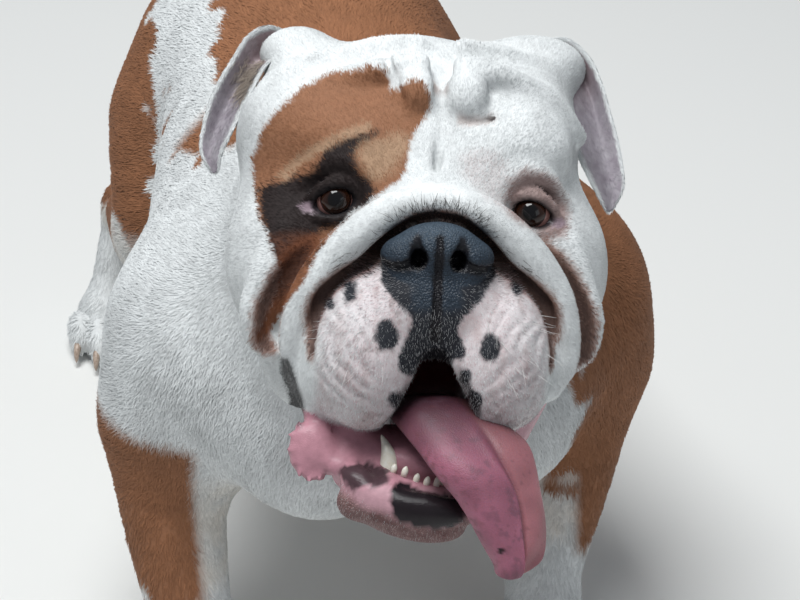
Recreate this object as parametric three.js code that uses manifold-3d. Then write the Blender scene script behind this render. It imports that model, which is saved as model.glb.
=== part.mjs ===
// English bulldog, life size, standing on four feet with its head raised, mouth open and tongue out.
// Millimetres, +Z up. The dog faces -Y, so its left side is +X. The floor is z = 0.
import * as THREE from 'three';
import { mergeVertices } from 'three/addons/utils/BufferGeometryUtils.js';
import Module from 'manifold-3d';

const wasm = await Module();
wasm.setup();

// Driving dimensions, as drawn. The whole dog is then brought to life size by one factor.
const lifeScale = 0.9;
const withersHeight = 402;
const shoulderWidth = 396;
const hipWidth = 262;
const eyeSpacing = 121;
const eyeballRadius = 12.5;
const noseWidth = 66;
const eyeHeight = 470; // eyes above the floor
const headPlace = [-1, -268, eyeHeight]; // the point between the eyes
const headPitch = 33; // degrees that the face looks up
const headTurn = -9; // degrees that the face turns to the dog's right
const headRoll = 4.6; // degrees that the head leans
const jawLean = 14; // degrees that the open jaw leans
const pieceGap = 0.35; // air between neighbouring pieces
const leafGap = 0.5; // and around the ears' roots and the tongue
const headCell = 8.8; // grid steps of the surfaces
const headSpread = 170; // the head's grid is finest at the nose and twice as wide at this distance
const trunkCell = 29;
const pawCell = 10.8;
const eyeCell = 5;
const ankleTop = 50; // the paws are their own pieces below this height
const earThickness = 4;
const tongueThickness = 9;

// Frames
const degrees = Math.PI / 180;
const headFrame = new THREE.Matrix4()
  .makeTranslation(...headPlace)
  .multiply(new THREE.Matrix4().makeRotationZ(headTurn * degrees))
  .multiply(new THREE.Matrix4().makeRotationX(-headPitch * degrees))
  .multiply(new THREE.Matrix4().makeRotationY(headRoll * degrees));
const headInverse = headFrame.clone().invert();

function inHead(p) {
  const v = new THREE.Vector3(...p).applyMatrix4(headInverse);
  return [v.x, v.y, v.z];
}

function fromHead(x, y, z) {
  return new THREE.Vector3(x, y, z).applyMatrix4(headFrame);
}

// Shapes. Each one gives the distance from a point to its surface, negative inside.
function ball(centre, radii) {
  return (p) => {
    let near = 0;
    let steep = 0;
    for (let i = 0; i < 3; i++) {
      const q = (p[i] - centre[i]) / radii[i];
      near += q * q;
      steep += (q / radii[i]) ** 2;
    }
    const length = Math.sqrt(near);
    return (length * (length - 1)) / Math.max(Math.sqrt(steep), 1e-6);
  };
}

// A ball turned about X by an angle in degrees, counted from Y towards Z.
function tiltedBall(centre, radii, angle) {
  const c = Math.cos(angle * degrees);
  const s = Math.sin(angle * degrees);
  const still = ball([0, 0, 0], radii);
  return (p) => {
    const y = p[1] - centre[1];
    const z = p[2] - centre[2];
    return still([p[0] - centre[0], c * y + s * z, c * z - s * y]);
  };
}

// A limb or fold: a round string through the points, with a radius at each.
function rope(points, radii, smooth = 4) {
  const curve = new THREE.CatmullRomCurve3(points.map((q) => new THREE.Vector3(...q)), false, 'centripetal');
  const joints = [];
  const spans = points.length - 1;
  const steps = points.length > 2 ? spans * smooth : 1;
  for (let i = 0; i <= steps; i++) {
    const along = (i / steps) * spans;
    const from = Math.min(Math.floor(along), spans - 1);
    joints.push({
      at: curve.getPoint(i / steps),
      radius: THREE.MathUtils.lerp(radii[from], radii[from + 1], along - from),
    });
  }
  return (p) => {
    let best = Infinity;
    for (let i = 0; i < steps; i++) {
      const a = joints[i].at;
      const b = joints[i + 1].at;
      const dx = b.x - a.x;
      const dy = b.y - a.y;
      const dz = b.z - a.z;
      const px = p[0] - a.x;
      const py = p[1] - a.y;
      const pz = p[2] - a.z;
      const raw = (px * dx + py * dy + pz * dz) / (dx * dx + dy * dy + dz * dz);
      const t = Math.min(Math.max(raw, 0), 1);
      const radius = THREE.MathUtils.lerp(joints[i].radius, joints[i + 1].radius, t);
      best = Math.min(best, Math.hypot(px - t * dx, py - t * dy, pz - t * dz) - radius);
    }
    return best;
  };
}

const mirrored = (shape) => (p) => shape([Math.abs(p[0]), p[1], p[2]]);
const shifted = (shape, dx) => (p) => shape([p[0] - dx, p[1], p[2]]);

function smoothMin(a, b, blend) {
  const h = Math.max(blend - Math.abs(a - b), 0) / blend;
  return Math.min(a, b) - (h * h * blend) / 4;
}

const add = (blend, shape) => (d, p) => smoothMin(d, shape(p), blend);
const cut = (blend, shape) => (d, p) => -smoothMin(-d, shape(p), blend);

function fieldOf(steps) {
  return (p) => steps.reduce((d, step) => step(d, p), 1000);
}

// The body, in the dog's own frame
const chestHalf = shoulderWidth / 2;
const hipHalf = hipWidth / 2;
const trunk = [
  add(1, ball([0, -15, withersHeight - 130], [152, 190, 128])), // ribs
  add(45, mirrored(ball([chestHalf - 93, -94, 260], [91, 90, 98]))), // shoulders
  add(45, ball([0, -160, 272], [120, 80, 92])), // breast
  add(30, mirrored(ball([62, -172, 240], [58, 66, 62]))), // breast muscles
  add(60, ball([0, 130, withersHeight - 104], [112, 130, 100])), // loin
  add(50, ball([0, 232, 304], [hipHalf - 14, 112, 96])), // rump
  add(40, mirrored(tiltedBall([hipHalf - 52, 236, 226], [54, 88, 112], -14))), // thighs
  add(50, rope([[0, -50, 285], [0, -130, 366], [0, -172, 424]], [120, 104, 90])), // neck
  add(25, rope([[0, -196, 370], [0, -216, 320], [0, -228, 275]], [52, 50, 40])), // dewlap
  add(14, rope([[0, 330, 318], [4, 366, 300], [-4, 384, 272], [6, 388, 252]], [26, 19, 14, 8])), // tail
];

const foreLegs = [
  {
    name: 'right', side: -1,
    elbow: [-154, -100, 200], middle: [-156, -128, 132], wrist: [-152, -158, 66], foot: [-152, -172, 30],
  },
  {
    name: 'left', side: 1,
    elbow: [146, -100, 206], middle: [130, -126, 134], wrist: [110, -152, 66], foot: [107, -166, 30],
  },
];
const hindLegs = [
  {
    name: 'right', side: -1,
    knee: [-112, 190, 178], hock: [-130, 326, 112], ankle: [-148, 314, 52], foot: [-154, 302, 30],
  },
  {
    name: 'left', side: 1,
    knee: [104, 190, 178], hock: [108, 318, 112], ankle: [108, 292, 52], foot: [108, 272, 30],
  },
];
for (const leg of foreLegs) {
  trunk.push(add(40, rope([leg.elbow, leg.middle, leg.wrist, leg.foot], [47, 38, 30, 30])));
}
for (const leg of hindLegs) {
  trunk.push(add(40, rope([[leg.side * 88, 228, 240], leg.knee, leg.hock], [62, 48, 25])));
  trunk.push(add(14, rope([leg.hock, leg.ankle, leg.foot], [24, 22, 26])));
}
const trunkField = fieldOf(trunk);

// One paw: a pad, four toes side by side and a claw on each
function pawSteps(leg) {
  const [x, y] = leg.foot;
  const turn = (leg.side * (hindLegs.includes(leg) ? 12 : 8)) * degrees;
  const place = (across, ahead, up) => [
    x + across * Math.cos(turn) + ahead * Math.sin(turn),
    y + across * Math.sin(turn) - ahead * Math.cos(turn),
    up,
  ];
  const steps = [add(10, ball(place(0, 4, 18), [33, 36, 25]))];
  for (const [across, ahead] of [[-27, 26], [-10, 38], [10, 38], [27, 26]]) {
    steps.push(add(4, ball(place(across, ahead, 17), [12.5, 23, 19])));
    steps.push(add(2, rope([place(across, ahead + 18, 17), place(across, ahead + 30, 8)], [5.5, 3])));
  }
  return steps;
}


// The head, in its own frame: x to the dog's left, y back from the face, z up, origin between the eyes
const eyePlaces = { right: [-eyeSpacing / 2, 14, 0], left: [eyeSpacing / 2 - 3, 14, -2] };
const cheekShift = -5; // the right cheek fold stands out further
const noseHalf = noseWidth / 2;
const skull = [
  add(1, ball([-12, 84, 24], [98, 80, 78])), // braincase
  add(20, ball([-74, 74, 40], [50, 58, 50])), // temples
  add(20, ball([45, 72, 46], [46, 60, 46])),
  add(30, ball([-4, 118, -20], [100, 70, 86])), // nape
  add(24, ball([-83, 58, -36], [44, 58, 56])), // cheeks: the right one stands out further
  add(24, ball([68, 58, -36], [44, 58, 56])),
  add(18, mirrored(ball([44, 26, 34], [36, 26, 22]))), // brows
  add(25, ball([0, 32, -16], [60, 50, 52])), // middle of the face
  add(24, ball([-72, 72, -88], [32, 50, 44])), // jowls
  add(24, ball([56, 72, -80], [30, 48, 40])),
  add(24, ball([0, 90, -100], [66, 50, 46])), // throat
];
const muzzle = [
  add(20, ball([0, 12, -66], [62, 46, 46])),
  add(8, mirrored(ball([38, -6, -90], [36, 38, 47]))), // upper lip pads
  add(12, ball([-60, 22, -100], [24, 38, 36])), // lips at the corners
  add(12, ball([52, 22, -98], [24, 38, 36])),
  add(4, ball([0, -27, -27], [noseHalf - 7, 19, 17])), // nose
  add(4, mirrored(ball([noseHalf - 14, -24, -31], [15, 18, 12]))), // nostril wings
  add(10, ball([0, -22, -58], [34, 20, 26])), // middle of the upper lip
];
const cheekCrease = [[66, -4, -20], [82, 0, -43], [93, 2, -66], [96, 6, -88]];
const noseCrease = [
  [0, -24, -9], [12, -24, -10], [30, -16, -20], [38, -11, -34],
  [54, -14, -43], [65, -14, -55], [69, -15, -72], [68, -18, -90],
];
const folds = [
  // the roots of the ears, and the opening of the right one
  add(12, ball([-86, 97, 90], [26, 30, 20])),
  add(24, ball([64, 96, 90], [34, 30, 22])),
  cut(4, ball([-116, 72, 70], [8, 12, 12])),
  // the big fold over the nose and down both sides of the muzzle
  add(5, mirrored(rope(
    [[0, -19, 2], [26, -20, -4], [50, -16, -22], [70, -8, -48], [79, -2, -70], [81, 3, -88], [74, 10, -108]],
    [9, 10.5, 11.5, 12, 12, 11, 8],
  ))),
  // the cheek fold outside it
  add(8, shifted(mirrored(rope(
    [[86, 12, -22], [95, 10, -45], [101, 13, -66], [99, 17, -84], [90, 18, -94]],
    [8, 9, 10, 9, 7],
  )), cheekShift)),
  cut(5, shifted(mirrored(rope(cheekCrease, [3, 5, 6.5, 6])), cheekShift / 2)),
  cut(3, mirrored(rope(noseCrease, [1.5, 1.8, 2.2, 3.2, 3.8, 4, 3.8, 2.5]))),
  // forehead: knobs beside a furrow, and folds that run out from it
  add(6, mirrored(ball([15, 14, 66], [14, 12, 15]))),
  add(8, mirrored(rope([[14, 20, 84], [36, 22, 80], [62, 34, 68], [88, 50, 46]], [8, 8, 8, 6]))),
  add(8, mirrored(rope([[14, 48, 97], [40, 52, 93], [66, 64, 84]], [6, 8, 7]))),
  cut(2.5, rope([[-1, 24, 88], [-1, 9, 66], [0, 2, 42], [-2, -3, 18]], [3.5, 4, 3.5, 3])),
  // the groove below the nose
  cut(3, rope([[0, -47, -36], [0, -44, -50], [0, -41, -66], [0, -39, -84]], [2.2, 2.6, 3, 3.2])),
];
// eye sockets, the ridges over them and the lids
for (const [name, [x, , z]] of Object.entries(eyePlaces)) {
  const side = name === 'left' ? 1 : -1;
  const around = (points, radii) => {
    const placed = points.map(([across, back, up]) => [x + side * (across - eyeSpacing / 2), back, z + up]);
    return rope(placed, radii);
  };
  folds.push(cut(6, ball([x, 0, z], [15, 10, 12])));
  folds.push(add(9, around(
    [[38, 6, 10], [46, 3, 19], [58, 4, 23], [72, 10, 18], [82, 20, 6]],
    [4, 5, 5, 4, 3],
  )));
  folds.push(add(3, around(
    [[45, 7, 0], [50, 4, 8], [60, 2.5, 10.5], [71, 5, 5], [79, 12, -6]],
    [3, 3.8, 4.4, 4, 3],
  )));
  folds.push(add(3, around(
    [[45, 7, -2], [52, 4, -9], [61, 4, -12], [71, 7, -11.5], [79, 12, -8]],
    [3, 3.2, 3.4, 3.4, 3],
  )));
}
// the mouth: a wedge that opens between the lip pads, and the hollow behind it
const mouthHollow = [
  cut(5, rope([[2, -46, -77], [4, -38, -136]], [3.5, 28])),
  cut(5, rope([[2, -22, -78], [4, -14, -136]], [6, 30])),
  cut(6, ball([2, 22, -116], [38, 50, 28])),
];

// The lower jaw, in a frame of its own at the middle of its front teeth
const jawFrame = new THREE.Matrix4()
  .makeTranslation(-6, -12, -163)
  .multiply(new THREE.Matrix4().makeRotationY(jawLean * degrees));
const jawInverse = jawFrame.clone().invert();
const jaw = [
  add(14, rope([[-66, 84, 62], [-52, 44, 24], [-36, 16, -8]], [26, 19, 14])),
  add(14, rope([[50, 84, 62], [42, 44, 24], [34, 16, -8]], [24, 18, 14])),
  add(14, ball([0, 46, 6], [42, 46, 20])), // floor of the mouth
  add(8, ball([0, 4, -22], [39, 25, 17])), // chin
  // gum
  add(4, rope([[-26, 10, -2], [-15, -1, -6], [0, -4, -7], [15, -1, -6], [26, 10, -2]], [6, 6, 6, 6, 6])),
  // lip
  add(4, rope(
    [[-46, 24, 6], [-34, -2, -12], [-17, -12, -16], [17, -12, -16], [34, -2, -12], [46, 24, 6]],
    [7, 8, 7, 7, 8, 7],
  )),
  add(5, rope(
    [[-14, -8, -10], [-8, -12, -16], [10, -14, -15], [31, -12, -11], [40, -4, -6]],
    [8, 9, 10, 9, 7],
  )),
  add(5, ball([-31, -2, -11], [11, 9, 8])),
  add(6, ball([-30, 0, -25], [12, 12, 11])),
  add(5, rope([[-70, 24, 24], [-64, 16, 4], [-48, 8, -8]], [5, 7, 6])), // the loose lip on the right side
  add(5, ball([-63, 13, -3], [15, 8, 17])),
];
const skullField = fieldOf([...skull, ...muzzle, ...folds, ...mouthHollow]);
const jawField = fieldOf(jaw);

function headField(p) {
  const v = new THREE.Vector3(...p).applyMatrix4(jawInverse);
  return smoothMin(skullField(p), jawField([v.x, v.y, v.z]), 8);
}

function fleshField(p) {
  return smoothMin(trunkField(p), headField(inHead(p)), 26);
}

// A closed surface around a field, from a grid of steps that widen with the distance from a centre.
function netSurface(field, low, high, cell, centre = [0, 0, 0], spread = 1e9) {
  const narrowed = (v) => Math.sign(v) * (spread / 2) * (Math.sqrt(1 + (4 * Math.abs(v)) / spread) - 1);
  const first = low.map((v, i) => Math.floor(narrowed(v - centre[i]) / cell));
  const size = high.map((v, i) => Math.ceil(narrowed(v - centre[i]) / cell) - first[i] + 1);
  const strides = [1, size[0], size[0] * size[1]];
  const points = new Float64Array(size[0] * size[1] * size[2] * 3);
  const values = new Float64Array(size[0] * size[1] * size[2]);
  let at = 0;
  for (let k = 0; k < size[2]; k++) {
    for (let j = 0; j < size[1]; j++) {
      for (let i = 0; i < size[0]; i++) {
        const offset = [i + first[0], j + first[1], k + first[2]].map((n) => n * cell);
        const wider = 1 + Math.hypot(...offset) / spread;
        const p = offset.map((v, axis) => centre[axis] + v * wider);
        const edge = [i, j, k].some((n, axis) => n < 2 || n > size[axis] - 3);
        points.set(p, at * 3);
        values[at] = edge ? Math.max(field(p), 0.1) : field(p);
        at++;
      }
    }
  }
  fillPockets(values, strides);
  fillTouches(values, strides);
  return joinCrossings(field, size, strides, points, values);
}

// Counts as flesh any air of the grid that the air outside doesn't reach.
function fillPockets(values, strides) {
  const reached = new Uint8Array(values.length);
  const waiting = [0];
  reached[0] = 1;
  while (waiting.length > 0) {
    const here = waiting.pop();
    for (const stride of strides) {
      for (const next of [here - stride, here + stride]) {
        if (next < 0 || next >= values.length || reached[next] || values[next] < 0) continue;
        reached[next] = 1;
        waiting.push(next);
      }
    }
  }
  for (let i = 0; i < values.length; i++) {
    if (!reached[i] && values[i] >= 0) values[i] = -0.5;
  }
}

// Closes the places where two sheets of the surface would meet in one edge: a grid square whose flesh corners
// lie on a diagonal gets a third flesh corner.
function fillTouches(values, strides) {
  const inside = (i) => values[i] < 0;
  const diagonal = (a, u, v) => inside(a) === inside(a + u + v)
    && inside(a) !== inside(a + u)
    && inside(a) !== inside(a + v);
  let found = true;
  while (found) {
    found = false;
    for (const [u, v] of [[0, 1], [1, 2], [0, 2]].map((pair) => pair.map((axis) => strides[axis]))) {
      for (let a = 0; a < values.length - u - v; a++) {
        if (!diagonal(a, u, v)) continue;
        const air = inside(a) ? [a + u, a + v] : [a, a + u + v];
        values[values[air[0]] < values[air[1]] ? air[0] : air[1]] = -0.5;
        found = true;
      }
    }
  }
}

// One vertex for each grid cell that the surface crosses, and one face for each grid edge that it crosses.
function joinCrossings(field, size, strides, points, values) {
  const vertices = [];
  const cellVertex = new Map();
  const corners = [0, 1, 2, 3, 4, 5, 6, 7].map(
    (c) => (c & 1) * strides[0] + ((c >> 1) & 1) * strides[1] + ((c >> 2) & 1) * strides[2],
  );
  const vertexOf = (cell) => {
    if (cellVertex.has(cell)) return cellVertex.get(cell);
    const sum = [0, 0, 0];
    let count = 0;
    for (let a = 0; a < 8; a++) {
      for (const bit of [1, 2, 4]) {
        if (a & bit) continue;
        const from = cell + corners[a];
        const to = cell + corners[a | bit];
        if (values[from] < 0 === values[to] < 0) continue;
        const t = values[from] / (values[from] - values[to]);
        for (let i = 0; i < 3; i++) sum[i] += points[from * 3 + i] * (1 - t) + points[to * 3 + i] * t;
        count++;
      }
    }
    const p = sum.map((v) => v / count);
    vertices.push(...onto(field, p));
    cellVertex.set(cell, vertices.length / 3 - 1);
    return vertices.length / 3 - 1;
  };
  const faces = [];
  for (let k = 1; k < size[2] - 1; k++) {
    for (let j = 1; j < size[1] - 1; j++) {
      for (let i = 1; i < size[0] - 1; i++) {
        const here = i + j * strides[1] + k * strides[2];
        for (let axis = 0; axis < 3; axis++) {
          const there = here + strides[axis];
          if (values[here] < 0 === values[there] < 0) continue;
          const u = strides[(axis + 1) % 3];
          const v = strides[(axis + 2) % 3];
          const quad = [here - u - v, here - v, here, here - u].map(vertexOf);
          if (values[here] >= 0) quad.reverse();
          faces.push(...splitQuad(quad, vertices));
        }
      }
    }
  }
  const geometry = new THREE.BufferGeometry();
  geometry.setAttribute('position', new THREE.Float32BufferAttribute(vertices, 3));
  geometry.setIndex(faces);
  return geometry;
}

// Moves a point to the surface along the field's slope, in two short steps.
function onto(field, start) {
  const p = [...start];
  const step = 0.5;
  for (let turn = 0; turn < 2; turn++) {
    const d = field(p);
    const slope = [0, 1, 2].map((i) => {
      const q = [...p];
      q[i] += step;
      return (field(q) - d) / step;
    });
    const steep = Math.max(slope.reduce((s, g) => s + g * g, 0), 0.2);
    const move = THREE.MathUtils.clamp(d, -2, 2);
    for (let i = 0; i < 3; i++) p[i] -= (slope[i] * move) / steep;
  }
  return p;
}

function splitQuad(quad, vertices) {
  const apart = (a, b) => Math.hypot(...[0, 1, 2].map((i) => vertices[a * 3 + i] - vertices[b * 3 + i]));
  const [a, b, c, d] = quad;
  return apart(a, c) < apart(b, d) ? [a, b, c, a, c, d] : [a, b, d, b, c, d];
}

// Solids
function solidOf(geometry, near = 1e-3) {
  const bare = geometry.clone();
  bare.deleteAttribute('normal');
  bare.deleteAttribute('uv');
  const merged = mergeVertices(bare, near);
  return new wasm.Manifold(new wasm.Mesh({
    numProp: 3,
    vertProperties: new Float32Array(merged.attributes.position.array),
    triVerts: new Uint32Array(merged.index.array),
  }));
}

function largestOf(solid) {
  return solid.decompose().sort((a, b) => b.volume() - a.volume())[0];
}

// A box between two corners in a frame, as a cutter, and the same box with the gap around it.
function cutter(low, high, frame = new THREE.Matrix4()) {
  const size = high.map((v, i) => v - low[i]);
  const geometry = new THREE.BoxGeometry(...size);
  geometry.translate(...low.map((v, i) => v + size[i] / 2));
  return solidOf(geometry.applyMatrix4(frame));
}

function region(low, high, frame) {
  return {
    keep: cutter(low, high, frame),
    away: cutter(low.map((v) => v - pieceGap), high.map((v) => v + pieceGap), frame),
  };
}

function joined(regions) {
  return regions.reduce((a, b) => ({ keep: a.keep.add(b.keep), away: a.away.add(b.away) }));
}

// A closed leaf from rows of points on its middle surface, thinner towards its rims, and grown on every side.
function leaf(rows, thickness, frame, grow = 0) {
  const lengthways = rows.length - 1;
  const across = rows[0].length - 1;
  const at = (i, j) => rows[THREE.MathUtils.clamp(i, 0, lengthways)][THREE.MathUtils.clamp(j, 0, across)];
  const faces = [[], []];
  for (let i = 0; i <= lengthways; i++) {
    for (let j = 0; j <= across; j++) {
      const along = at(i + 1, j).clone().sub(at(i - 1, j));
      const side = at(i, j + 1).clone().sub(at(i, j - 1));
      const normal = along.clone().cross(side).normalize();
      const rim = Math.min(j, across - j, lengthways - i) === 0 ? 0.55 : 1;
      const half = (thickness * rim) / 2 + grow;
      const outward = (k, last) => (k === last) - (k === 0);
      const middle = at(i, j).clone()
        .addScaledVector(along.normalize(), outward(i, lengthways) * grow)
        .addScaledVector(side.normalize(), outward(j, across) * grow);
      faces[0].push(middle.clone().addScaledVector(normal, half));
      faces[1].push(middle.clone().addScaledVector(normal, -half));
    }
  }
  const count = faces[0].length;
  const points = [...faces[0], ...faces[1]].map((p) => p.applyMatrix4(frame));
  const index = (i, j, face) => i * (across + 1) + j + face * count;
  const triangles = [];
  const quad = (a, b, c, d) => triangles.push(a, b, c, a, c, d);
  for (let i = 0; i < lengthways; i++) {
    for (let j = 0; j < across; j++) {
      quad(index(i, j, 0), index(i + 1, j, 0), index(i + 1, j + 1, 0), index(i, j + 1, 0));
      const back = [index(i, j, 1), index(i + 1, j, 1), index(i + 1, j + 1, 1), index(i, j + 1, 1)];
      triangles.push(back[2], back[1], back[0], back[3], back[2], back[0]);
    }
    quad(index(i + 1, 0, 0), index(i, 0, 0), index(i, 0, 1), index(i + 1, 0, 1));
    quad(index(i, across, 0), index(i + 1, across, 0), index(i + 1, across, 1), index(i, across, 1));
  }
  for (let j = 0; j < across; j++) {
    quad(index(0, j, 0), index(0, j + 1, 0), index(0, j + 1, 1), index(0, j, 1));
    const last = [[j + 1, 0], [j, 0], [j, 1], [j + 1, 1]];
    quad(...last.map(([column, face]) => index(lengthways, column, face)));
  }
  const geometry = new THREE.BufferGeometry().setFromPoints(points);
  geometry.setIndex(triangles);
  return solidOf(geometry);
}

// Rows across a leaf from lengthways curves, each given by its points.
function leafRows(curves, lengthways, across) {
  const through = (points) => new THREE.CatmullRomCurve3(points.map((q) => new THREE.Vector3(...q)));
  const splines = curves.map(through);
  const rows = [];
  for (let i = 0; i <= lengthways; i++) {
    const crossing = new THREE.CatmullRomCurve3(splines.map((spline) => spline.getPoint(i / lengthways)));
    rows.push(Array.from({ length: across + 1 }, (_, j) => crossing.getPoint(j / across)));
  }
  return rows;
}

const coat = {
  white: { color: 0xe9e6de, roughness: 0.85 },
  tan: { color: 0xa9683a, roughness: 0.85 },
  pink: { color: 0xd9828c, roughness: 0.5 },
  black: { color: 0x24262b, roughness: 0.45 },
  eye: { color: 0x2a1710, roughness: 0.1 },
};

const dog = new THREE.Group();
dog.name = 'english_bulldog';
dog.scale.setScalar(lifeScale);
dog.position.set(2, 16, 0).multiplyScalar(lifeScale); // the middle of its length and width is over the origin

function geometryOf(solid) {
  const { numProp, numVert, vertProperties, triVerts } = solid.getMesh();
  const positions = new Float32Array(numVert * 3);
  for (let i = 0; i < numVert; i++) {
    positions.set(vertProperties.subarray(i * numProp, i * numProp + 3), i * 3);
  }
  const geometry = new THREE.BufferGeometry();
  geometry.setAttribute('position', new THREE.BufferAttribute(positions, 3));
  geometry.setIndex(new THREE.BufferAttribute(new Uint32Array(triVerts), 1));
  geometry.computeVertexNormals();
  return geometry;
}

// Adds a solid's largest body as a node, without the crumbs that fall off when near points are merged.
function addNode(name, solid, look) {
  const geometry = geometryOf(largestOf(solidOf(geometryOf(largestOf(solid)), 0.02)));
  const mesh = new THREE.Mesh(geometry, new THREE.MeshStandardMaterial({ ...look, metalness: 0 }));
  mesh.name = name;
  dog.add(mesh);
}

// Adds one node for each region of a solid, and gives back what is left of it.
function shareOut(solid, parts) {
  let rest = solid;
  for (const [name, { keep, away }, look] of parts) {
    addNode(name, rest.intersect(keep), look);
    rest = rest.subtract(away);
  }
  return rest;
}

// Where the head ends and the neck starts
const headRegion = joined([
  region([-200, -200, -126], [200, 100, 220], headFrame),
  region([-200, -200, -300], [200, 40, -120], headFrame),
]);
const nosePoint = fromHead(0, -30, -50).toArray();
const headNet = netSurface(fleshField, [-222, -440, 240], [222, -90, 600], headCell, nosePoint, headSpread);
let head = solidOf(headNet).intersect(headRegion.keep);

// Eyes, each in a socket, with a finer surface around it
for (const [name, place] of Object.entries(eyePlaces)) {
  const centre = fromHead(...place);
  const eyeball = new THREE.SphereGeometry(eyeballRadius, 14, 9).translate(...centre.toArray());
  const socket = new THREE.SphereGeometry(eyeballRadius + pieceGap, 14, 9).translate(...centre.toArray());
  const reach = 28;
  const around = solidOf(new THREE.SphereGeometry(reach, 16, 10).translate(...centre.toArray()));
  const within = solidOf(new THREE.SphereGeometry(reach - 1.5, 16, 10).translate(...centre.toArray()));
  const low = centre.toArray().map((v) => v - reach - 3 * eyeCell);
  const high = centre.toArray().map((v) => v + reach + 3 * eyeCell);
  const fine = solidOf(netSurface(fleshField, low, high, eyeCell)).intersect(around);
  head = head.subtract(within).add(fine).subtract(solidOf(socket));
  addNode(`eye_${name}`, solidOf(eyeball), coat.eye);
}

// Ears: curves along the inner rim, the bottom of the cup and the outer rim, from the base to the tip
const ears = [
  ['right', [
    [[-68, 84, 88], [-90, 80, 90], [-104, 76, 84], [-113, 72, 68],
      [-120, 68, 52], [-126, 67, 38], [-131, 69, 26], [-133, 71, 15]],
    [[-78, 112, 90], [-98, 106, 95], [-112, 100, 86], [-123, 93, 70],
      [-131, 86, 52], [-137, 80, 36], [-139, 75, 23], [-136, 72, 13]],
    [[-84, 98, 98], [-104, 94, 108], [-117, 92, 103], [-128, 88, 86],
      [-138, 81, 66], [-144, 76, 44], [-145, 74, 27], [-139, 72, 15]],
  ]],
  ['left', [
    [[50, 84, 92], [70, 79, 90], [76, 75, 82], [79, 70, 70],
      [84, 66, 52], [92, 64, 32], [103, 66, 13], [110, 69, 2]],
    [[56, 112, 94], [78, 106, 96], [93, 99, 88], [100, 93, 74],
      [105, 88, 54], [110, 82, 33], [114, 76, 14], [113, 71, 1]],
    [[60, 100, 104], [82, 94, 110], [97, 88, 99], [105, 84, 84],
      [112, 82, 64], [119, 79, 40], [122, 75, 17], [116, 72, 3]],
  ]],
];
const slots = [];
for (const [name, curves] of ears) {
  const rows = leafRows(curves, 10, 6).slice(1); // the first row would fold over itself deep in the head
  slots.push(leaf(rows, earThickness, headFrame, leafGap));
  addNode(`ear_${name}`, leaf(rows, earThickness, headFrame), coat.white);
}

// Tongue: curves along its right edge, right half, fold, left half and left edge, from the root to the tip
const tongueCurves = [
  [[-24, 30, -128], [-21, -10, -130], [-5, -37, -148], [14, -43, -170],
    [27, -43, -190], [37, -42, -206], [44, -40, -214]],
  [[-10, 28, -121], [-8, -18, -124], [11, -44, -147], [28, -50, -169],
    [37, -50, -190], [42, -47, -208], [46, -42, -216]],
  [[6, 26, -119], [7, -18, -121], [29, -42, -146], [44, -46, -168],
    [49, -45, -192], [50, -43, -208], [49, -41, -215]],
  [[20, 28, -121], [26, -12, -122], [46, -37, -142], [57, -40, -168],
    [60, -39, -194], [57, -40, -208], [52, -41, -213]],
  [[34, 30, -128], [41, -4, -130], [59, -27, -140], [67, -32, -168],
    [67, -32, -194], [60, -36, -206], [54, -38, -211]],
];
const tongueRows = leafRows(tongueCurves, 12, 8);
slots.push(leaf(tongueRows, tongueThickness, headFrame, leafGap));
for (const slot of slots) head = head.subtract(slot);
addNode('tongue', leaf(tongueRows, tongueThickness, headFrame), coat.pink);

// Nose, lower jaw with its teeth, muzzle and head
const jawCut = headFrame.clone()
  .multiply(new THREE.Matrix4().makeTranslation(0, 0, -139))
  .multiply(new THREE.Matrix4().makeRotationX(24 * degrees));
const jawRegion = region([-120, -160, -200], [120, 74, 0], jawCut);
const muzzleDisc = (grow) => solidOf(
  new THREE.CylinderGeometry(1, 1, 180 + grow, 32)
    .scale(89 + grow, 1, 84 + grow)
    .translate(0, -78, -72)
    .applyMatrix4(headFrame),
);
for (const side of [-1, 1]) {
  const nostril = new THREE.SphereGeometry(1, 10, 7).scale(5, 9, 8).translate(side * 14, -46, -30);
  const slit = new THREE.SphereGeometry(1, 10, 7).scale(12, 6, 3).translate(side * 25, -41, -38.5);
  for (const hole of [nostril, slit]) head = head.subtract(solidOf(hole.applyMatrix4(headFrame)));
}
const noseBall = (grow) => solidOf(
  new THREE.SphereGeometry(1, 20, 10)
    .scale(noseHalf + 3 + grow, 34 + grow, 20.5 + grow)
    .translate(0, -40, -28.5)
    .applyMatrix4(headFrame),
);
head = shareOut(head, [['nose', { keep: noseBall(0), away: noseBall(pieceGap) }, coat.black]]);
let lowerJaw = head.intersect(jawRegion.keep);
head = head.subtract(jawRegion.away);
const teethFrame = headFrame.clone().multiply(jawFrame);
const teeth = [
  [-18, 5, 0, 18, 4.2, 26],
  [18, 5, 0, 18, 4.2, -26],
  ...[[-13.8, -2], [-7.2, -3.5], [0.6, -4.5], [7, -4.5], [13, -3.5], [18, -2]]
    .map(([x, y]) => [x, y, -1, 4.5, 2, 0]),
];
for (const [x, y, z, tall, wide, lean] of teeth) {
  const tooth = new THREE.LatheGeometry([
    new THREE.Vector2(0, -5),
    new THREE.Vector2(wide, -5),
    new THREE.Vector2(wide * 0.9, tall * 0.3),
    new THREE.Vector2(wide * 0.45, tall * 0.8),
    new THREE.Vector2(0, tall),
  ], 8);
  tooth.rotateX(Math.PI / 2).rotateY(-lean * degrees).translate(x, y, z).applyMatrix4(teethFrame);
  lowerJaw = lowerJaw.add(solidOf(tooth));
}
addNode('lower_jaw', lowerJaw.subtract(slots[2]), coat.pink);
head = shareOut(head, [['muzzle', { keep: muzzleDisc(0), away: muzzleDisc(pieceGap) }, coat.white]]);
addNode('head', head, coat.white);

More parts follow.
